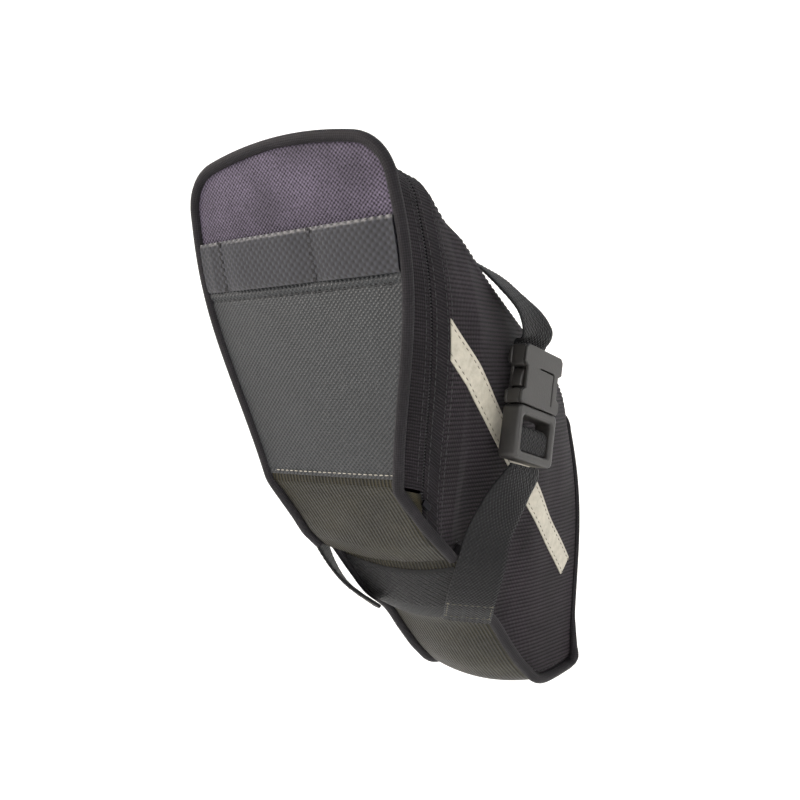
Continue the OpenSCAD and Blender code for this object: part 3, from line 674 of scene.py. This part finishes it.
lid_low = float(fold_k(np.array([0.98]), 1.1)[0]) + 0.2
fit(row_of("lid_coil", [gusset_line(0.975, 1.0, lid_low)], 1.25, 0.8, 1.9, coil_nylon, "lid"),
    None, ["lid_coil"])
fit(row_of("body_coil", [gusset_line(1.045, 1.0, K_SIDE)], 1.25, 0.8, 1.9, coil_nylon, "bag"),
    None, ["body_coil"])
row_of("lid_tape_stitches", [gusset_line(0.8, -0.05, lid_low)], STITCH_GAP, STITCH, 0.4, black_thread, "lid")
row_of("body_tape_stitches", [gusset_line(u, -0.05, K_SIDE) for u in (1.28, 1.9)], STITCH_GAP, STITCH, 0.4,
       black_thread, "bag")

# ---- Lid --------------------------------------------------------------------
# A stiff board between heathered cloth and lining. A coated patch covers its
# lower part and a strip of webbing for a light's clip crosses it.
LID_UP = np.array([0, -sin(LID_LEAN), cos(LID_LEAN)])
LID_OUT = np.array([0, -cos(LID_LEAN), -sin(LID_LEAN)])
LID_DOME = 1.6
rim_k = np.linspace(0, K_MID, 400)
rim_x, rim_v = ring(np.repeat(SECTIONS[:1], 400, 0), rim_k)
rim_v = np.maximum.accumulate(rim_v)


def half_width(v):
    return np.interp(v, rim_v + np.arange(400) * 1e-6, rim_x)


def on_lid(x, v, lift):
    """Points on the lid: x across, v up, lift outwards from its slightly domed face."""
    share = np.clip(np.abs(x) / np.maximum(half_width(v), 1), 0, 1)
    dome = LID_DOME * (1 - share ** 3) * np.clip(1 - ((v - 68) / 68) ** 4, 0, 1)
    flat = np.stack(np.broadcast_arrays(x, 0 * v, 0 * v), -1) + (0, HINGE_Y, HINGE_Z)
    return flat + v[..., None] * LID_UP + (dome + lift)[..., None] * LID_OUT


def lid_piece(name, vs, lift, thick, inset, material, step=1.0, extra=None, body="lid"):
    across = steps(-1, 1, step / HALF_TOP)
    v = np.repeat(vs[:, None], len(across), 1)
    x = across[None] * (half_width(v) - inset)
    out = lift + (extra(x, v) if extra else 0 * x)
    points, faces, cloth = two_sided(on_lid(x, v, out), on_lid(x, v, out - thick), np.stack([v, x], -1))
    return piece(name, points, flipped(faces), material, body, [name], cloth)


STRAP_LOW, WEB_W, WEB_T = 79.5, 20, 1.5
STRAP_HIGH = STRAP_LOW + WEB_W
top_rows = LID_H - (LID_H - 1) * steps(1, 0, 0.012) ** 1.5
top_rows = np.unique(np.clip(np.concatenate([top_rows, LID_H - steps(0.005, 5, 0.15)]), 1.8, LID_H - 0.005))

# Two-tone yarns spun together: purple-grey ground with pale flecks
heather = woven("heathered_polyester", "#08060a", "#62596a", 1.9, 1.7, staggered=True, relief=0.45,
                rough=0.75, gloss=0.25, uneven=0.75)
lid_piece("lid_panel", top_rows, 0, FABRIC_T, 0.0, heather)
board_plastic = mottled("polyethylene_board", "#c9c9c3", "#deded9", 60, 0.5)[0]
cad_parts["lid_board"].data.materials.clear()
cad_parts["lid_board"].data.materials.append(board_plastic)

lining_cloth = woven("plain_nylon_lining", "#2a2b2e", "#4a4b50", 1.0, 1.0, staggered=True, relief=0.05,
                     rough=0.6)
lining_rows = 2 + (LID_H - 5) * np.sin(steps(0, pi / 2, 0.03))
lid_piece("lid_lining", lining_rows, -FABRIC_T - 2.0, 0.5, 3.8, lining_cloth, step=2.0)
body_lining_us = steps(2.1, U_FRONT - 0.4, 0.2)
panel("body_lining", body_lining_us, steps(-K_MID + 0.5, K_MID - 0.5, 0.5), lining_cloth,
      along_cloth, depth=3.8, thick=0.5)

# Polyurethane-coated polyester, embossed with small diamonds
FOLD_V = STRAP_LOW - 3.8                     # the stitched fold along the patch's top edge


def patch_shape(x, v):
    fold = 0.55 * np.exp(-((v - FOLD_V - 2.1) / 1.3) ** 2)
    groove = -0.3 * np.exp(-((v - FOLD_V) / 0.7) ** 2) * (1 + 0.5 * np.sin(tau * x / STITCH_GAP))
    low = -0.25 * np.exp(-((v - 5.2) / 0.8) ** 2) * (1 + 0.4 * np.sin(tau * x / STITCH_GAP))
    return fold + groove + low + 0.12 * np.sin(x / 9 + v / 17)


coated_patch = woven("coated_diamond_polyester", "#08090a", "#2a2d30", 2.1, 1.9, staggered=True, relief=0.4,
                     rough=0.45, gloss=0.4, uneven=0.25, blotch=0.1)
lid_piece("lid_patch", steps(3.6, STRAP_LOW + 1.5, 0.4), 0.8, 0.75, 0.0, coated_patch,
          step=0.5, extra=patch_shape)


def lid_row(v, x0, x1, lift):
    x = steps(x0, x1, 1.0)
    vs = np.full(len(x), float(v))
    return on_lid(x, vs, np.full(len(x), lift))


row_of("patch_fold_stitches", [lid_row(FOLD_V, -46, 46, 0.75)], STITCH_GAP, STITCH, 0.45, black_thread, "lid")
row_of("patch_hem_stitches", [lid_row(5.2, -28, 33, 0.75)], 2.6, 1.9, 0.5, pale_thread, "lid")


def web_relief(along, across, width):
    """Height of the webbing's staggered ribs, with a flat selvage along both edges."""
    ribs = np.sin(tau * along / 3.2) * np.sin(tau * across / 3.2)
    edge = np.clip((width / 2 - np.abs(across - width / 2)) / 1.3, 0, 1)
    return 0.42 * np.clip(ribs + 0.35, 0, 1.2) * edge


# Its high colour, paler than the straps' webbing, is painted highlight from the key light falling on the lid.
polypropylene = woven("polypropylene_webbing", "#020203", "#303037", 3.2, 3.2, staggered=True, relief=0.3,
                      rough=0.4, gloss=0.4, uneven=0.3, blotch=0.1)
TACKS = (-38.5, 12)                          # bar-tacks that hold the strip down


def strip_lift(x):
    """The strip stands off the lid between its tacks and ends."""
    held = np.min([np.abs(x - t) for t in (*TACKS, -50, 50)], axis=0)
    return 0.35 + 1.1 * (1 - np.exp(-(held / 7) ** 2))


strip_v = steps(STRAP_LOW, STRAP_HIGH, 0.45)
strip_s = steps(-1, 1, 0.009)
sv, ss = np.meshgrid(strip_v, strip_s, indexing="ij")
sx = ss * (half_width(sv) - 0.1)
sag = strip_lift(sx)
flat_edge = WEB_T * (1 - 0.35 * (np.abs(sv - STRAP_LOW - WEB_W / 2) / (WEB_W / 2)) ** 8)
strip_top = on_lid(sx, sv, sag + flat_edge + web_relief(sx, sv - STRAP_LOW, WEB_W))
points, faces, cloth = two_sided(strip_top, on_lid(sx, sv, sag), np.stack([sx, sv - STRAP_LOW], -1))
piece("light_strap", points, flipped(faces), polypropylene, "lid", ["light_strap"], cloth)
tack_rows = []
for t in TACKS:
    for dx in (-0.7, 0, 0.7):
        v = steps(STRAP_LOW + 0.6, STRAP_HIGH - 0.6, 0.5)
        x = t + dx + 0.35 * np.sin(v * 4)
        tack_rows.append(on_lid(x, v, np.full(len(v), 0.35 + WEB_T + 0.1)))
row_of("bar_tacks", tack_rows, 1.1, 1.3, 0.5, black_thread, "lid")

# ---- Piping of the lid and lobe ---------------------------------------------
# One length of piping runs down the lid's edge and on round the lobe. It
# bends at the lid's fold.


def soften(path, rounds):
    for _ in range(rounds):
        path[1:-1] = (path[:-2] + 2 * path[1:-1] + path[2:]) / 4
    return path


lobe_u = steps(2.93, 0.1, 0.05)
lid_k = steps(K_BOTTOM + 0.4, 2 * K_MID - K_BOTTOM - 0.4, 0.12)
edge_path = np.concatenate([skin(lobe_u, np.full(len(lobe_u), K_BOTTOM), -PIPING_OUT),
                            skin(np.zeros(len(lid_k)), lid_k, -PIPING_OUT + 0.25),
                            skin(lobe_u[::-1], np.full(len(lobe_u), 2 * K_MID - K_BOTTOM), -PIPING_OUT)])
edge_far = run(edge_path)
even_far = steps(0, edge_far[-1], 0.9)
edge_path = np.stack([np.interp(even_far, edge_far, edge_path[:, i]) for i in range(3)], -1)
edge_path = soften(edge_path, 6)
edge_aside = np.array([0, 0.35, 1.0])
points, faces, cloth = tube(edge_path, PIPING_R, edge_aside)
lid_edge_piping = piece("lid_piping", points, faces, bias_tape, None, ["lid_piping", "lobe_piping"],
                        cloth)
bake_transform(lid_edge_piping)

# The lobe's cloth turns up over the fold and is sewn under the patch
turn_v = np.array([7.0, 5.0, 3.0, 1.5, 0.6])
turn_s = steps(-1, 1, 0.03)
tv, ts = np.meshgrid(turn_v, turn_s, indexing="ij")
turned_up = on_lid(ts * (HALF_BOTTOM + 0.3), tv, 0.35 + 0 * tv)
down_u = np.array([0.0, 0.05, 0.12, 0.2])
tu, ts2 = np.meshgrid(down_u, turn_s, indexing="ij")
under = skin(tu, ts2 * (K_BOTTOM - 0.8), -0.35)
under[..., 0] = ts2 * (HALF_BOTTOM + 0.3 + tu)
turn_front = np.concatenate([turned_up, under])
turn_back = np.concatenate([on_lid(ts * (HALF_BOTTOM + 0.3), tv, -0.4 + 0 * tv), under + (0, 0.35, 0.65)])
points, faces, cloth = two_sided(turn_front, turn_back, along_cloth(turn_front))
lobe_turn = piece("lobe_turn", points, faces, coated_rib, None, [], cloth)
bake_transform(lobe_turn)

# ---- Webbing straps ---------------------------------------------------------
# 20 mm polypropylene webbing. The rail straps come out of the top seam, pass
# over the saddle's rails and hang the sockets. The lower straps twist down
# from the plugs and are sewn to the underside, where a band crosses it.
dense_webbing = woven("dense_polypropylene_webbing", "#030303", "#1a1a1c", 1.6, 2.0, staggered=True,
                      relief=0.25, rough=0.55, gloss=0.2, uneven=0.3, blotch=0.1)


def curve_through(points, each):
    """Catmull-Rom curve through the points, with each steps between two of them."""
    p = np.array(points, float)
    p = np.concatenate([p[:1], p, p[-1:]])
    t = (np.arange(each) / each)[:, None]
    parts = [spline(a, b, c, d, t) for a, b, c, d in zip(p[:-3], p[1:-2], p[2:-1], p[3:])]
    return np.concatenate([*parts, p[-1:]])


def strap_grid(path, across):
    """Front and back grids and cloth coordinates of webbing along a path."""
    ahead = np.gradient(path, axis=0)
    ahead /= np.linalg.norm(ahead, axis=1)[:, None]
    side = across - ahead * (across * ahead).sum(1)[:, None]
    side /= np.linalg.norm(side, axis=1)[:, None]
    out = np.cross(ahead, side)
    far = run(path)
    places = steps(-WEB_W / 2, WEB_W / 2, 0.5)
    along, s = np.meshgrid(far, places, indexing="ij")
    edge = 1 - 0.5 * (np.abs(s) / (WEB_W / 2)) ** 10
    ribs = 0.5 * web_relief(along * 1.6, s + WEB_W / 2, WEB_W)
    middle = path[:, None] + side[:, None] * s[..., None]
    front = middle + out[:, None] * (WEB_T / 2 * edge + ribs)[..., None]
    back = middle - out[:, None] * (WEB_T / 2 * edge + ribs)[..., None]
    return front, back, np.stack([along, s + WEB_W / 2], -1)


def strap(name, path, across, flip, body, nodes):
    front, back, cloth = strap_grid(path, across)
    points, faces, flat = two_sided(front, back, cloth)
    return piece(name, points * flip, mirrored(faces, -flip[0]), dense_webbing, body, nodes, flat)


BUCKLE_X, BUCKLE_Y, BUCKLE_Z = 57.6, 17, -51
SOCKET_L, PLUG_L, BUCKLE_W, BUCKLE_T = 24, 21.5, 27.5, 8.4
rail_path = curve_through([(1, 0, 0.9), (6, 0, 1.9), (13, 0, 3.8), (22, 0, 11.4), (31, 0, 7.4),
                           (41, 0.8, 2.7), (49.8, 4, -4.8), (56, 9.5, -12.4), (57.6, 14.2, -19.5),
                           (54.3, 16.4, -24.5), (52.4, 17, -28.5), (53.6, 17, -31.6), (56.6, 17, -33.0)], 14)
rail_turn = radians(17) * np.clip((22 - rail_path[:, 0]) / 12, 0, 1)
rail_across = np.stack([0 * rail_turn, np.cos(rail_turn), -np.sin(rail_turn)], -1)
for side in (1, -1):
    word, flip = both_ways(side)
    strap(f"rail_strap_{word}", rail_path, rail_across, flip, "bag", [f"rail_strap_{word}"])

# The left strap hangs nearer to the bag and twists later
LOWER_WAYS = {1: ([(57.6, 17, -73.7), (57.6, 17, -76.7), (56, 15, -82), (52.5, 12, -92), (48, 12, -103),
                   (44, 15, -115), (35, 24, -128.5), (25, 37, -136.9)], (0, 2, 8, 20, 28, 36, 44, 48)),
              -1: ([(57.6, 17, -73.7), (57.2, 17, -76.7), (54.4, 15, -82), (50, 13, -92), (46, 13, -103),
                    (42.5, 16, -115), (35, 25, -128.5), (25, 37, -136.9)], (0, 0, 4, 10, 18, 28, 40, 48))}
for side in (1, -1):
    word, flip = both_ways(side)
    places, turns = LOWER_WAYS[side]
    path = curve_through(places, 24)
    turn = np.radians(np.interp(np.arange(len(path)) / 24, range(len(turns)), turns))
    across = np.stack([np.sin(turn), np.cos(turn), 0 * turn], -1)
    made = strap(f"lower_strap_{word}", path, across, flip, None, [f"lower_strap_{word}"])
    # Cross-stitched down at its lower end
    front, _, _ = strap_grid(path, across)
    last = front.shape[1] - 3
    rows = [front[-9, 2:last], front[-22, 2:last], front[-22:-9, 2], front[-22:-9, last],
            np.linspace(front[-9, 2], front[-22, last], 20), np.linspace(front[-22, 2], front[-9, last], 20)]
    row_of(f"strap_tacks_{word}", [r * flip for r in rows], 2.2, 1.6, 0.4, olive_thread, "bag")
    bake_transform(made)

# Band sewn flat across the underside, with its ends under the lower straps
band_us, band_ks = steps(4.55, 6.2, 0.045), steps(-3.2, 3.2, 0.06)
band_u, band_k = np.meshgrid(band_us, band_ks, indexing="ij")
band_mid = skin(band_us, np.zeros(len(band_us)))
band_row = skin(np.full(len(band_ks), 5.4), band_ks)
band_s, band_far = np.meshgrid(run(band_mid), run(band_row), indexing="ij")
band_relief = web_relief(band_far, band_s, WEB_W)
points, faces, cloth = two_sided(skin(band_u, band_k, -1.9 - band_relief), skin(band_u, band_k, -0.4),
                                 np.stack([band_far, band_s], -1))
piece("belly_band", points, faces, dense_webbing, "bag", ["belly_band"], cloth)

# ---- Buckles ----------------------------------------------------------------
# Side-release buckles: a socket with open sides and a plug with two sprung
# prongs and a frame whose middle bar holds the lower strap.
acetal, tree, shader, place, _ = mottled("moulded_acetal", "#1b1a19", "#2e2c2a", 70, 0.42)
grain = add(tree, "ShaderNodeTexNoise", {"Vector": place, "Scale": 1400.0, "Detail": 3.0})
roughen(tree, shader, grain.outputs[0], 0.00006)


def box_outline(x0, x1, z0, z1, r, n=6):
    """A rectangle with corners of radius r."""
    corners = [(x1 - r, z1 - r, 0), (x0 + r, z1 - r, 90), (x0 + r, z0 + r, 180), (x1 - r, z0 + r, 270)]
    return [(x + r * cos(radians(a + 90 * i / n)), z + r * sin(radians(a + 90 * i / n)))
            for x, z, a in corners for i in range(n + 1)]


def plate(outlines, y0, y1, round_off):
    """A moulded plate between depths y0 and y1: one outline, then its holes."""
    shape = bpy.data.curves.new("plate", "CURVE")
    shape.dimensions, shape.fill_mode = "2D", "BOTH"
    shape.extrude, shape.bevel_depth, shape.bevel_resolution = (y1 - y0) / 2 - round_off, round_off, 2
    shape.offset = -round_off
    for outline in outlines:
        line = shape.splines.new("POLY")
        line.points.add(len(outline) - 1)
        for point, (x, z) in zip(line.points, outline):
            point.co = (x, z, 0, 1)
        line.use_cyclic_u = True
    holder = bpy.data.objects.new("plate", shape)
    scene.collection.objects.link(holder)
    mesh = bpy.data.meshes.new_from_object(holder.evaluated_get(bpy.context.evaluated_depsgraph_get()))
    points = np.zeros(len(mesh.vertices) * 3)
    mesh.vertices.foreach_get("co", points)
    points = points.reshape(-1, 3)
    faces = [tuple(f.vertices) for f in mesh.polygons]
    bpy.data.objects.remove(holder)
    bpy.data.meshes.remove(mesh)
    return np.stack([points[:, 0], (y0 + y1) / 2 - points[:, 2], points[:, 1]], -1), faces


def joined(parts):
    """Several plates as one list of points and one of faces."""
    points, faces = [], []
    for some, more in parts:
        faces += [tuple(i + len(points) for i in f) for f in more]
        points += some.tolist()
    return np.array(points), faces


def at_buckle(points, side):
    return np.stack([side * (BUCKLE_X - points[:, 1]), BUCKLE_Y + points[:, 0], BUCKLE_Z + points[:, 2]], -1)


HW, HT = BUCKLE_W / 2, BUCKLE_T / 2
SLOT_LOW, SLOT_HIGH = SOCKET_L - 7.2, SOCKET_L - 3.6
slot_hole = box_outline(-10.5, 10.5, SLOT_LOW, SLOT_HIGH, 1.0)
groove = [(-2.5, 16.3), (7.4, 16.3), (8.1, 15.8), (8.1, 3.0), (7.5, 3.0), (7.5, 15.3), (7.1, 15.7),
          (-2.5, 15.7)]
# The face is waisted beside the side openings
face = [(-HW + 1, 0.3), (HW - 1, 0.3), (HW, 1.6), (HW, 5.2), (HW - 2.4, 6.6), (HW - 2.4, 15.4), (HW, 16.8),
        (HW, 22.4), (HW - 1.6, 24), (-HW + 1.6, 24), (-HW, 22.4), (-HW, 16.8), (-HW + 2.4, 15.4),
        (-HW + 2.4, 6.6), (-HW, 5.2), (-HW, 1.6)]
walls = [[(s * HW, 0.3), (s * HW, 5.6), (s * (HW - 1.8), 6.0), (s * (HW - 1.8), 0.3)][::s] for s in (1, -1)]
socket_parts = [plate([face, groove], -HT, -2.6, 0.4), plate([face, slot_hole], 2.6, HT, 0.5),
                plate([box_outline(-HW + 0.3, HW - 0.3, 15.2, 24.0, 1.2), slot_hole], -2.7, 2.7, 0.25)]
socket_parts += [plate([w], -2.7, 2.7, 0.2) for w in walls]
plug_frame = [box_outline(-HW, HW, -PLUG_L, 0, 2.2), box_outline(-10.3, 10.3, -17.9, -4, 1.4)]
plug_parts = [plate(plug_frame, -HT, HT, 1.2),
              plate([box_outline(-11, 11, -12.6, -9.3, 0.7)], -1.4, 1.4, 0.6),
              plate([box_outline(-3, 3, -1, 12, 1)], -2.1, 2.1, 0.4)]
prong_shape = [(7.55, 0.35), (10.55, 0.35), (10.7, 6.9), (12.9, 7.1), (12.95, 9.5), (12.2, 12.2),
               (10.9, 14.4), (9.0, 15.3), (7.7, 14.2)]
wrap_way = np.array([(-1.9, -17.4), (-2.2, -14.5), (-2.35, -12.5), (-2.35, -10.9), (-2.1, -9.4), (-1.1, -8.3),
                     (0, -8.0), (1.1, -8.3), (2.1, -9.4), (2.35, -10.9), (2.35, -12.5), (2.2, -14.5),
                     (1.9, -17.4)])
for side in (1, -1):
    word, flip = both_ways(side)
    for name, parts, body in (("buckle_socket", socket_parts, "bag"),
                              ("buckle_plug", plug_parts, f"plug_{word}")):
        points, faces = joined(parts)
        piece(f"{name}_{word}", at_buckle(points, side), mirrored(faces, side), acetal, body,
              [f"{name}_{word}"], sharp=50)
    for end, end_side in (("front", 1), ("rear", -1)):
        shape = [(end_side * x, z) for x, z in prong_shape][::end_side]
        points, faces = plate([shape], -2.35, 2.35, 0.6)
        piece(f"prong_{end}_{word}", at_buckle(points, side), mirrored(faces, side), acetal,
              f"prong_{end}_{word}", [f"prong_{end}_{word}"], sharp=50)
    way = curve_through(np.stack([0 * wrap_way[:, 0], wrap_way[:, 0], wrap_way[:, 1]], -1), 6)
    way = np.stack([BUCKLE_X - way[:, 1], BUCKLE_Y + way[:, 0], BUCKLE_Z + way[:, 2]], -1)
    strap(f"ladder_wrap_{word}", way, np.tile((0, 1.0, 0), (len(way), 1)), flip, f"plug_{word}",
          [f"ladder_wrap_{word}"])

# ---- Zip slider and pull ----------------------------------------------------
# A die-cast slider parked at the lower left end of the zip, with a moulded
# pull, and a stop below each end of the zip.
zinc, tree, shader = blank_material("black_nickel_zinc")
place = add(tree, "ShaderNodeTexCoord")
wear = add(tree, "ShaderNodeTexNoise", {"Vector": place.outputs["Object"], "Scale": 400.0})
polish = add(tree, "ShaderNodeMapRange", {"Value": wear.outputs[0], "To Min": 0.2, "To Max": 0.45})
tree.links.new(polish.outputs[0], shader.inputs["Roughness"])
shader.inputs["Base Color"].default_value = hex_colour("#1c1c20")
shader.inputs["Metallic"].default_value = 1.0
rubber = mottled("moulded_pull_rubber", "#0e0e0f", "#1c1c1e", 900, 0.6)[0]

SLIDER_K = K_SIDE + 3.2                      # where the slider is parked
slider_at = skin(np.array([1.0]), np.array([SLIDER_K]))[0]
slider_to = skin(np.array([1.0]), np.array([SLIDER_K + 3]))[0]
slider_up = (slider_to - slider_at) / np.linalg.norm(slider_to - slider_at)
slider_aside = np.cross(slider_up, (1, 0, 0))
slider_aside /= np.linalg.norm(slider_aside)
slider_out = np.cross(slider_aside, slider_up)


def at_slider(points):
    """From the slider's frame (out, across, up) to the left end of the zip."""
    there = slider_at + points[:, :1] * slider_out + points[:, 1:2] * slider_aside + points[:, 2:] * slider_up
    return there * (-1, 1, 1)


def facing_out(parts):
    """Turns plates that face across the buckle so that they face out of the zip."""
    points, faces = joined(parts)
    return np.stack([-points[:, 1], points[:, 0], points[:, 2]], -1), faces


body_shape = [(-2.2, 0), (2.2, 0), (3.5, 4.5), (3.5, 9), (0.8, 9), (0, 7.6), (-0.8, 9), (-3.5, 9),
              (-3.5, 4.5)]
slider_points, slider_faces = facing_out([plate([body_shape], -3.35, -2.3, 0.35),
                                          plate([box_outline(-0.3, 0.3, 1, 8, 0.2)], -2.5, 3.6, 0.1),
                                          plate([box_outline(-1.3, 1.3, 1.4, 7.6, 0.8)], -6.4, -5.5, 0.35),
                                          plate([box_outline(-1.3, 1.3, 1.4, 3.0, 0.5)], -6.0, -3.1, 0.3),
                                          plate([box_outline(-1.3, 1.3, 6.4, 7.6, 0.4)], -6.0, -3.1, 0.3)])
piece("zip_slider", at_slider(slider_points), slider_faces, zinc, "slider", ["zip_slider"])
pull_outline = [(-2.6, 5.9), (2.6, 5.9), (3.4, 4.8), (3.4, -11), (2.4, -13), (-2.4, -13), (-3.4, -11),
                (-3.4, 4.8)]
pull_hole = box_outline(-1.75, 1.75, -3, 4.1, 0.8)
pull_points, pull_faces = facing_out([plate([pull_outline, pull_hole], -5.35, -3.45, 0.5),
                                      plate([box_outline(-2.2, 2.2, -11, -4.6, 0.8)], -5.75, -4.0, 0.4)])
piece("pull_tab", at_slider(pull_points), pull_faces, rubber, "pull", ["pull_tab"])
stop_at = skin(np.array([1.0]), np.array([K_SIDE + 0.35]), -1.8)[0]
stop_points, stop_faces = plate([box_outline(-2.5, 2.5, -1.3, 1.3, 0.5)], -0.6, 0.6, 0.25)
stop_points = np.stack([stop_points[:, 1], stop_points[:, 0], stop_points[:, 2]], -1)
stop_there = np.stack([stop_points[:, 0], stop_points[:, 1] * cos(LID_LEAN) + stop_points[:, 2] * sin(LID_LEAN),
                       stop_points[:, 2] * cos(LID_LEAN) - stop_points[:, 1] * sin(LID_LEAN)], -1) + stop_at
left_faces = [tuple(i + len(stop_there) for i in f) for f in flipped(stop_faces)]
piece("zip_stops", np.concatenate([stop_there, stop_there * (-1, 1, 1)]), stop_faces + left_faces, zinc, "bag",
      ["zip_stops"])

# ---- Seat post strap --------------------------------------------------------
# A leaf sewn flat on the front panel and two folded tails of hook and loop
# that meet in front of the seat post.
pile, tree, shader = blank_material("nylon_hook_and_loop")
place = add(tree, "ShaderNodeTexCoord")
fuzz = add(tree, "ShaderNodeTexVoronoi", {"Vector": place.outputs["Object"], "Scale": 1300.0})
tint = add(tree, "ShaderNodeMix", {"Factor": fuzz.outputs[0], 6: hex_colour("#1e1e21"),
                                   7: hex_colour("#09090a")}, data_type="RGBA")
tree.links.new(tint.outputs[2], shader.inputs["Base Color"])
roughen(tree, shader, fuzz.outputs[0], 0.0005)
shader.inputs["Roughness"].default_value = 0.9
POST_UP, POST_OUT, POST_W = 18, 5.3, 25
post_mid = front_mid + front_up * POST_UP + front_out * POST_OUT


def on_front(points):
    """From the strap's frame (across, up, out) to the front panel."""
    return post_mid + points[:, :1] * (1, 0, 0) + points[:, 1:2] * front_up + points[:, 2:] * front_out


for name, x0, x1, y0, y1, body in (("post_strap_base", -21, 21, 0, 1.6, "bag"),
                                   ("post_strap_hook", 0.5, 21, 1.9, 6.7, "tail_right"),
                                   ("post_strap_loop", -21, -0.5, 1.9, 6.7, "tail_left")):
    layers = 3 if y1 - y0 > 3 else 1
    thick = (y1 - y0) / layers
    points, faces = joined([plate([box_outline(x0, x1, -POST_W / 2, POST_W / 2, 1.5)], y0 + i * thick,
                                  y0 + (i + 1) * thick, min(0.7, thick * 0.45)) for i in range(layers)])
    piece(name, on_front(points[:, [0, 2, 1]]), flipped(faces), pile, body, [name])
